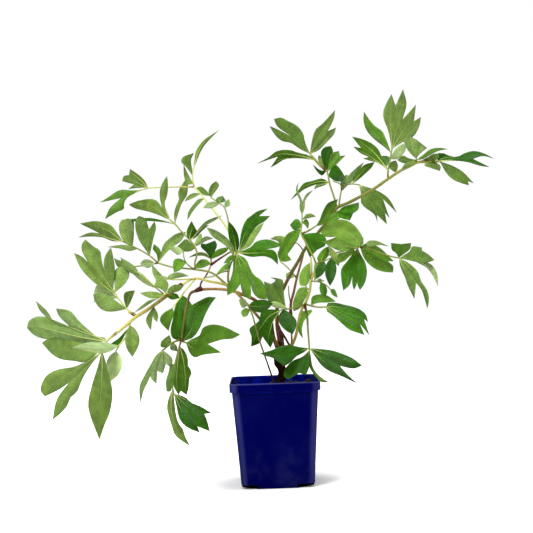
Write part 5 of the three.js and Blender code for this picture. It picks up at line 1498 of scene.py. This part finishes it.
    def number(self, sheet: Sheet, half: Half, row: int, column: int) -> int:
        """Finds a point of a half in the sheet, or lays it there if it is new.

        Args:
            sheet: The blade's sheet.
            half: The half.
            row: The point's row.
            column: Its column.

        Returns:
            The point's number.
        """
        if row == 0:
            return 0
        key: tuple = half.lobe, half.left, row, column
        if row == self.rows:
            key = "tip", half.lobe
        elif column == 0:
            key = "midrib", half.lobe, row
        elif column == self.columns and half.seam is not None and row <= self.waist:
            key = "seam", half.seam, row
        if key not in sheet.numbers:
            plane, whims = sheet.plane, sheet.whims
            sheet.numbers[key] = len(sheet.places)
            share, side = column / self.columns, 1 if half.left else -1
            at = half.midrib[row] + (half.edge[row] - half.midrib[row]) * share
            along, past = plane.share(at), max(0.0, row / self.waist - 1)
            rise = (self.fold * half.lift[row] * share * (1.5 - 0.5 * share)
                    + self.arch * plane.length * 4 * along * (1 - along)
                    - self.curl * plane.length * past ** 2)
            ripple = math.sin(whims.phase + whims.pace * half.reached[row]
                              + (2 if half.left else 0))
            loose = (1.0 if half.seam is None else past) * share ** 2
            sheet.places.append(at)
            sheet.lifts.append(rise * VIEW.per_pixel + self.wave * ripple * loose
                               * min(1.0, half.widths[row] / self.wave_width))
            sheet.depths.append(self.light - self.tip_shade * (row / self.rows) ** 1.5
                                * whims.dark_tip - self.edge_shade * share
                                + whims.fold_shade * min(1.0, 2 * share) * side)
        return sheet.numbers[key]

    def plane_of(self, form: Blade, root: np.ndarray, tips: np.ndarray) -> Plane:
        """Finds the plane that a blade hangs in.

        Args:
            form: The blade.
            root: Where it grows from, as u, v and near.
            tips: The u, v of each of its tips.

        Returns:
            The plane.
        """
        reach = np.linalg.norm(tips - root[:2], axis=1)
        way = tips[reach.argmax()] - root[:2]
        length = float(np.linalg.norm(way))
        return Plane(root, way / length, length, (form.end_near - root[2]) / length,
                     math.tan(math.radians(form.turn)) * VIEW.per_pixel)

    def add(self, draft: Draft, form: Blade, stalks: tuple[Stalk, ...], seed: int) -> None:
        """Adds a blade to a mesh.

        Args:
            draft: The mesh.
            form: The blade.
            stalks: The stalks of its spray.
            seed: A number of its own, for its waves.
        """
        root = self.root_of(form, stalks)
        halves = self.halves_of(root[:2], form)
        plane = self.plane_of(form, root, np.array([half.midrib[-1] for half in halves[::2]]))
        whims = Whims(seed)
        sheet = Sheet(plane, whims, [root[:2]], [0.0], [self.base_light])
        for half in halves:
            self.lay(sheet, half)

        upper = plane.upper()
        to_eye = -upper[1]
        towards = math.copysign(1, to_eye) / max(abs(to_eye), self.steepest) / VIEW.depth
        flat = np.array(sheet.places)
        near = plane.near(flat) + np.array(sheet.lifts) * towards
        points = VIEW.seen(np.column_stack([flat, near]))
        normals = sheet.normals(points)
        if normals.sum(axis=0) @ upper < 0:
            sheet.turn_over()
            normals = -normals

        seen = np.array(linear(*form.tone.value)) * whims.shade
        sides = seen * self.in_shade, seen
        if to_eye > 0:
            sides = seen, np.array(blended(tuple(seen), self.under_side, self.under_share))
        fades = np.array(sheet.depths)[:, None]
        skin = normals * self.thickness * MM / 2
        rim = sheet.rim()
        draft.add(np.vstack([points + skin, points - skin]),
                  np.vstack([side * fades for side in sides]))
        draft.cover(sheet.faces, 0, veins=sheet.corners())
        sheet.turn_over()
        draft.cover([tuple(number + len(points) for number in face) for face in sheet.faces], 1,
                    veins=sheet.corners())
        draft.cover(rim, 1, False)
        for half in halves[::2]:
            ridge = [0] + [sheet.numbers[("midrib", half.lobe, row)]
                           for row in range(1, self.rows - 1)]
            self.add_rib(draft, points[ridge], normals[ridge], plane.length * VIEW.per_pixel,
                         sides[1])

    def add_rib(self, draft: Draft, ridge: np.ndarray, ups: np.ndarray, length: float,
                tone: np.ndarray) -> None:
        """Adds the raised midrib under a lobe, which tapers from the blade's base to its tip.

        Args:
            draft: The mesh.
            ridge: The points of the sheet along the midrib.
            ups: The way to the upper side at each of them.
            length: The blade's length in millimetres.
            tone: The colour of the blade's under side.
        """
        thick = min(self.rib_limit, 0.3 + length * 0.009)
        left = np.linspace(1, 0, len(ridge))[:, None]
        radii = (self.rib_tip + (thick - self.rib_tip) * left ** 1.7) * MM
        line = ridge - ups * (self.thickness * MM / 2 + 0.35 * radii)
        tones = tone * self.rib_tint * (1 - left) + np.array(self.rib_base) * left
        Tube(self.rib_sides).add(draft, line, radii[:, 0], tones, 2)


@dataclass(frozen=True)
class StalkMaker:
    """Turns a stalk into a round, tapering bar, swollen and darker where it starts.

    The joint there reaches so many of the stalk's radii along it.
    """

    ring_gap: float = 0.003
    curve_steps: int = 12
    start_width: float = 1.05
    swelling: float = 0.28
    joint_reach: float = 3.8
    joint: Colour = linear(96, 42, 26)
    joint_share: float = 0.9
    bar: Tube = Tube(10, 0.12)

    def add(self, draft: Draft, form: Stalk, bark: Bark, finish: int, taper: float) -> None:
        """Adds a stalk to a mesh.

        Args:
            draft: The mesh.
            form: The stalk.
            bark: The skin that it has unless it names its own.
            finish: The number of its material.
            taper: How much thinner it is at its end, as a share of its radius.
        """
        dense = form.route(self.curve_steps * (len(form.points) - 1))
        length = float(lengths_along(dense)[-1])
        shares = np.linspace(0, 1, max(3, round(length / self.ring_gap)) + 1)
        swell = np.exp(-(shares * length / (self.joint_reach * form.radius * MM)) ** 2)
        radii = form.radius * MM * (self.start_width - taper * shares + self.swelling * swell)
        tones = (form.bark or bark).tones(shares)
        tones = tones + (np.array(self.joint) - tones) * (swell * self.joint_share)[:, None]
        self.bar.add(draft, along_line(dense, shares), radii, tones, finish)


@dataclass
class Foliage:
    """All the stems and leaves, each spray a piece of its own."""

    blades: BladeMaker = BladeMaker()
    stalks: StalkMaker = StalkMaker()
    stem_taper: float = 0.3
    stalk_taper: float = 0.2
    upper: LeafFinish = LeafFinish(
        "leaf_upper_side", roughness=0.4, specular=0.05, midrib_share=0.7, vein_share=0.42,
        vein_relief=-1.0, vein_tint=(1.5, 1.3, 1.35))
    under: LeafFinish = LeafFinish(
        "leaf_under_side", roughness=0.6, specular=0.02, midrib_share=0.5, vein_share=0.36,
        vein_relief=1.0, vein_tint=(1.45, 1.35, 1.4))
    green: BarkFinish = BarkFinish("green_stalk", 0.5, 0.12, 0.00015, linear(140, 134, 78))
    woody: BarkFinish = BarkFinish("woody_stem", 0.7, 0.28, 0.0004, linear(104, 80, 52))

    def build(self) -> None:
        """Builds every spray, in the order of the tables."""
        green, woody = self.green.material(), self.woody.material()
        upper, under = self.upper.material(), self.under.material()
        for grown in STEMS:
            draft = Draft()
            for form in grown.stalks:
                self.stalks.add(draft, form, grown.bark, 0, self.stem_taper)
            is_wood = grown.bark in WOODY_BARKS
            stand_for(draft.make(f"{grown.name}_grown", woody if is_wood else green),
                      grown.name)
        for order, grown in enumerate(LEAVES):
            draft = Draft()
            for form in grown.stalks:
                self.stalks.add(draft, form, grown.bark, 2, self.stalk_taper)
            for turn, form in enumerate(grown.blades):
                self.blades.add(draft, form, grown.stalks, 100 * order + turn)
            stand_for(draft.make(f"{grown.name}_grown", upper, under, green), grown.name)


@dataclass
class Crown:
    """The gnarled woody crown, thickest at its knots."""

    path: tuple[Point, ...] = ((281, 398, 0), (280, 386, 0), (282.5, 373, 1), (279, 361, -1),
                               (281.5, 350, 1), (280, 342, 0))
    radii: tuple[float, ...] = (7, 8, 6, 7.4, 6.4, 3)
    steps: int = 48
    low: Colour = linear(26, 18, 11)
    high: Colour = linear(50, 22, 17)
    bar: Tube = Tube(28, 0.45)
    bark: BarkFinish = BarkFinish("crown_bark", 0.85, 0.45, 0.0012, linear(52, 42, 30), 0.01)

    def build(self) -> None:
        """Builds the crown."""
        line = smooth_line(VIEW.seen(np.array(self.path, float)), self.steps)
        shares = np.linspace(0, 1, self.steps + 1)
        radii = np.interp(shares, np.linspace(0, 1, len(self.radii)), self.radii) * MM
        tones = np.array([blended(self.low, self.high, float(share)) for share in shares])
        draft = Draft()
        self.bar.add(draft, line, radii, tones, 0)
        stand_for(draft.make("crown_gnarled", self.bark.material()), "crown")


@dataclass
class Pot:
    """The square pot with round corners, a skirted rim, foot notches and drain holes.

    Sizes are millimetres. Each rounding is a row of rings, as what they add to the width, to the
    corners' radius and to the height at which the foot, the skirt or the lip starts.
    """

    height: float = 153
    rim_width: float = 131.5
    skirt_height: float = 13
    top_width: float = 125
    base_width: float = 106
    corner: float = 12
    corner_steps: int = 12
    wall: float = 2
    wall_steps: int = 12
    foot_height: float = 1.2
    foot: tuple[Point, ...] = ((-2.4, -1.2, 0), (-0.9, -0.4, 0.3))
    skirt: tuple[Point, ...] = ((-1.6, 1.2, 0.2), (-0.4, 1.7, 0.8), (0, 2, 1.8))
    lip: tuple[Point, ...] = ((0, 2, -1.3), (-0.5, 1.8, -0.4), (-1.8, 1.2, 0), (-3.2, 0.4, 0),
                              (-4, 0, -0.5))
    floor_top: float = 8
    notch_height: float = 6
    notch_width: float = 30
    notch_inset: float = 2
    drain_radius: float = 5
    drain_offset: float = 26
    drain_sides: int = 32
    weld: float = 1e-6
    sharpest: float = math.radians(32)
    finish: PlasticFinish = PlasticFinish()

    @property
    def skirt_low(self) -> float:
        """The height at which the skirt starts."""
        return self.height - self.skirt_height

    def ring(self, width: float, radius: float, height: float) -> np.ndarray:
        """Walks round a square with round corners.

        Args:
            width: The square's width.
            radius: Its corners' radius.
            height: The height at which it lies.

        Returns:
            The ring's points, in metres.
        """
        points = []
        middle = width / 2 - radius
        for turn, (right, back) in enumerate(((1, 1), (-1, 1), (-1, -1), (1, -1))):
            for step in range(self.corner_steps + 1):
                angle = (turn + step / self.corner_steps) * math.pi / 2
                points.append((right * middle + radius * math.cos(angle),
                               back * middle + radius * math.sin(angle), height))
        return np.array(points) * MM

    def rounding(self, rows: tuple[Point, ...], width: float, height: float) -> list[np.ndarray]:
        """Returns the rings of a rounding that starts at a width and height."""
        return [self.ring(width + wider, self.corner + rounder, height + higher)
                for wider, rounder, higher in rows]

    def body_width(self, height: float) -> float:
        """Returns the outer width below the skirt, in millimetres."""
        return self.base_width + (self.top_width - self.base_width) * (height / self.skirt_low)

    def inner_width(self, height: float) -> float:
        """Returns the width between the walls, in millimetres."""
        return self.body_width(min(height, self.skirt_low)) - 2 * self.wall

    def shell(self) -> bpy.types.Mesh:
        """Builds the pot's wall and floor, and returns the mesh."""
        low, skirt = self.foot_height, self.skirt_low
        inner = self.corner - self.wall
        rings = self.rounding(self.foot, self.base_width, 0)
        for step in range(self.wall_steps):
            height = low + (skirt - low) * step / self.wall_steps
            rings.append(self.ring(self.body_width(height), self.corner, height))
        rings += [self.ring(self.body_width(skirt) - 0.2, self.corner, skirt),
                  *self.rounding(self.skirt, self.rim_width, skirt),
                  *self.rounding(self.lip, self.rim_width, self.height),
                  self.ring(self.rim_width - 2 * self.wall - 1, self.corner, skirt + 2),
                  self.ring(self.inner_width(skirt), inner, skirt - 1),
                  self.ring(self.inner_width(self.floor_top), inner, self.floor_top)]
        points, faces = lofted(rings, np.array([(0, 0, 0), (0, 0, self.floor_top * MM)]))
        mesh = bpy.data.meshes.new("pot_shell")
        mesh.from_pydata(points.tolist(), [], faces)
        return mesh

    def cutter(self) -> bpy.types.Object:
        """Builds the foot notches and drain holes as one solid to cut away, and returns it."""
        form = bmesh.new()
        reach, drain = (self.base_width / 2 - self.notch_inset) * MM, self.drain_offset * MM
        size = Matrix.Diagonal((self.notch_width * MM, 2 * self.notch_width * MM,
                                2 * self.notch_height * MM, 1))
        for x, y in ((1, 1), (-1, 1), (-1, -1), (1, -1)):
            turn = Matrix.Rotation(math.atan2(y, x), 4, "Z")
            bmesh.ops.create_cube(form, size=1, matrix=Matrix.Translation(
                (x * reach, y * reach, 0)) @ turn @ size)
            bmesh.ops.create_cone(form, cap_ends=True, segments=self.drain_sides,
                                  radius1=self.drain_radius * MM, radius2=self.drain_radius * MM,
                                  depth=4 * self.floor_top * MM,
                                  matrix=Matrix.Translation((x * drain, y * drain, 0)))
        mesh = bpy.data.meshes.new("pot_cutter")
        form.to_mesh(mesh)
        form.free()
        return linked("pot_cutter", mesh)

    def build(self) -> None:
        """Builds the pot."""
        piece = linked("pot_moulded", self.shell())
        cutter = self.cutter()
        cut = piece.modifiers.new("cut", "BOOLEAN")
        cut.operation, cut.object, cut.solver = "DIFFERENCE", cutter, "EXACT"
        graph = bpy.context.evaluated_depsgraph_get()
        mesh = bpy.data.meshes.new_from_object(piece.evaluated_get(graph))
        piece.modifiers.clear()
        piece.data = mesh
        bpy.data.objects.remove(cutter)
        form = bmesh.new()
        form.from_mesh(mesh)
        bmesh.ops.remove_doubles(form, verts=form.verts, dist=self.weld)
        for face in form.faces:
            face.smooth = True
            face.material_index = 0
        for edge in form.edges:
            edge.smooth = len(edge.link_faces) == 2 and edge.calc_face_angle() < self.sharpest
        form.to_mesh(mesh)
        form.free()
        mesh.materials.clear()
        mesh.materials.append(self.finish.material())
        stand_for(piece, "pot")


@dataclass
class Soil:
    """Mounded, lumpy soil with loose crumbs, pale bits and a few wet clods on it.

    Sizes are millimetres. A clod is given by its place in the pot's plan and its radius, and the
    mound is highest beside the crown.
    """

    pot: Pot
    edge: float = 137
    mound: float = 7
    mound_at: float = 8
    lump: float = 1.6
    fine_lump: float = 0.7
    rings: int = 44
    innermost: float = 0.15
    below_skirt: float = 5
    gap: float = 0.3
    seed: int = 7
    crumbs: int = 420
    crumb_sizes: Pair = (0.8, 2.4)
    pale_bits: int = 36
    pale_sizes: Pair = (0.7, 1.5)
    sunk: float = 0.25
    rough: float = 0.35
    clods: tuple[Point, ...] = ((46, 24, 5.5), (51, 33, 6.5), (44, 40, 5.5), (56, 42, 5),
                                (-4, 12, 5), (14, 20, 5.5), (24, 28, 5), (33, 34, 4.5))
    wet: Colour = linear(24, 17, 12)
    dark: Colour = linear(46, 33, 24)
    dry: Colour = linear(86, 62, 42)
    pale: Colour = linear(170, 148, 112)
    finish: SoilFinish = SoilFinish()

    def height_at(self, x: float, y: float) -> float:
        """Finds how high the soil stands.

        Args:
            x: How far to the right in the pot's plan.
            y: How far to the back.

        Returns:
            The soil's height there.
        """
        out = min(1.0, math.hypot(x - self.mound_at, y) / (self.pot.rim_width / 2))
        lumps = math.sin(x * 0.31 + 1) * math.cos(y * 0.27) + 0.6 * math.sin((x + y) * 0.53)
        fine = noise.noise(Vector((x, y, 3)) * 0.35) + 0.5 * noise.noise(Vector((x, y, 9)) * 0.9)
        return (self.edge + self.mound * (1 - out * out) + self.lump * lumps
                + self.fine_lump * fine)

    def build(self) -> None:
        """Builds the soil."""
        pot = self.pot
        radius = pot.corner - pot.wall
        low, high = pot.floor_top + self.gap, pot.skirt_low - self.below_skirt
        width = pot.inner_width(high) - 2 * self.gap
        rings = [pot.ring(pot.inner_width(low) - 2 * self.gap, radius, low),
                 pot.ring(width, radius, high)]
        for step in range(self.rings):
            share = 1 - (step + self.innermost) / self.rings
            ring = pot.ring(width * share, radius * share, 0)
            for point in ring:
                point[2] = self.height_at(point[0] / MM, point[1] / MM) * MM
            rings.append(ring)
        points, faces = lofted(rings, np.array([(0, 0, low), (0, 0, self.height_at(0, 0))]) * MM)
        draft = Draft()
        draft.add(points, np.array(self.dark))
        draft.cover(faces, 0)
        draw = random.Random(self.seed)
        reach = width / 2 - 5
        for number in range(self.crumbs):
            at = draw.uniform(-reach, reach), draw.uniform(-reach, reach)
            pale = number < self.pale_bits
            size = draw.uniform(*(self.pale_sizes if pale else self.crumb_sizes))
            tone = self.pale if pale else blended(self.dark, self.dry, draw.random())
            self.add_crumb(draft, draw, at, size, tone)
        for x, y, size in self.clods:
            self.add_crumb(draft, draw, (x, y), size, self.wet)
        stand_for(draft.make("soil_lumpy", self.finish.material()), "soil")

    def add_crumb(self, draft: Draft, draw: random.Random, at: Pair, size: float,
                  tone: Colour) -> None:
        """Adds one loose crumb that lies on the soil.

        Args:
            draft: The mesh.
            draw: The draw of its form and turn.
            at: Its place in the pot's plan, in millimetres.
            size: Its radius in millimetres.
            tone: Its colour.
        """
        ball = bmesh.new()
        bmesh.ops.create_icosphere(ball, subdivisions=2, radius=size * MM)
        stretch = Vector((draw.uniform(0.7, 1.4), draw.uniform(0.7, 1.3), draw.uniform(0.5, 0.9)))
        shift = Vector([draw.uniform(0, 50) for _ in range(3)])
        turn = Matrix.Rotation(draw.uniform(0, 6.28), 3, "Z")
        middle = Vector((*at, self.height_at(*at) + self.sunk * size)) * MM
        points = []
        for vertex in ball.verts:
            bumps = noise.noise(vertex.co / (size * MM) * 1.3 + shift)
            points.append(turn @ (vertex.co * (1 + self.rough * bumps) * stretch) + middle)
        faces = [tuple(vertex.index for vertex in face.verts) for face in ball.faces]
        ball.free()
        draft.add(np.array(points), np.array(tone))
        draft.cover(faces, 0)


@dataclass(frozen=True)
class Lamp:
    """A soft square light, which hangs at a place and shines at another."""

    name: str
    at: Colour
    towards: Colour
    size: float
    watts: float

    def build(self) -> None:
        """Hangs the light."""
        lamp = bpy.data.lights.new(self.name, "AREA")
        lamp.shape, lamp.size, lamp.energy = "SQUARE", self.size, self.watts
        way = Vector(self.towards) - Vector(self.at)
        turn = way.to_track_quat("-Z", "Y").to_matrix().to_4x4()
        linked(self.name, lamp).matrix_world = Matrix.Translation(self.at) @ turn


@dataclass
class Studio:
    """The pale floor, the soft lights and the camera."""

    floor_size: float = 12
    world: Colour = (1.0, 1.0, 1.0)
    lamps: tuple[Lamp, ...] = (Lamp("key", (-0.8, -1.2, 1.9), (-0.05, 0, 0.3), 0.9, 85),
                               Lamp("fill", (1.4, -1.2, 1.1), (0, 0, 0.3), 1.4, 12),
                               Lamp("top", (0.1, 0.3, 2.2), (0, 0, 0.2), 1.2, 34))
    sensor: float = 36
    clip: Pair = (0.05, 50)

    def build(self) -> None:
        """Builds the floor, the lights and the camera."""
        scene = bpy.context.scene
        scene.view_settings.view_transform = "Standard"
        mesh = bpy.data.meshes.new("floor")
        reach = self.floor_size / 2
        mesh.from_pydata([(-reach, -reach, 0), (reach, -reach, 0), (reach, reach, 0),
                          (-reach, reach, 0)], [], [(0, 1, 2, 3)])
        mesh.materials.append(FloorFinish().material())
        linked("floor", mesh)
        world = bpy.data.worlds.new("pale_room")
        world.use_nodes = True
        world.node_tree.nodes["Background"].inputs["Color"].default_value = (*self.world, 1)
        scene.world = world
        for lamp in self.lamps:
            lamp.build()
        self.camera()

    def camera(self) -> None:
        """Adds the camera, with the photograph's place, field and slight turn."""
        lens = bpy.data.cameras.new("camera")
        lens.sensor_width = self.sensor
        lens.lens = self.sensor * VIEW.focal / VIEW.width
        lens.clip_start, lens.clip_end = self.clip
        made = linked("camera", lens)
        cos, sin = math.cos(VIEW.roll), math.sin(VIEW.roll)
        made.matrix_world = Matrix(((cos, sin, 0, VIEW.side), (0, 0, -1, -VIEW.distance),
                                    (-sin, cos, 0, VIEW.height), (0, 0, 0, 1)))
        bpy.context.scene.camera = made


def main() -> None:
    """Loads the frame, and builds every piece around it."""
    logging.basicConfig(level=logging.INFO, format="%(name)s %(message)s")
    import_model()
    Studio().build()
    pot = Pot()
    pot.build()
    Soil(pot).build()
    Crown().build()
    Foliage().build()


if __name__ == "__main__":
    main()
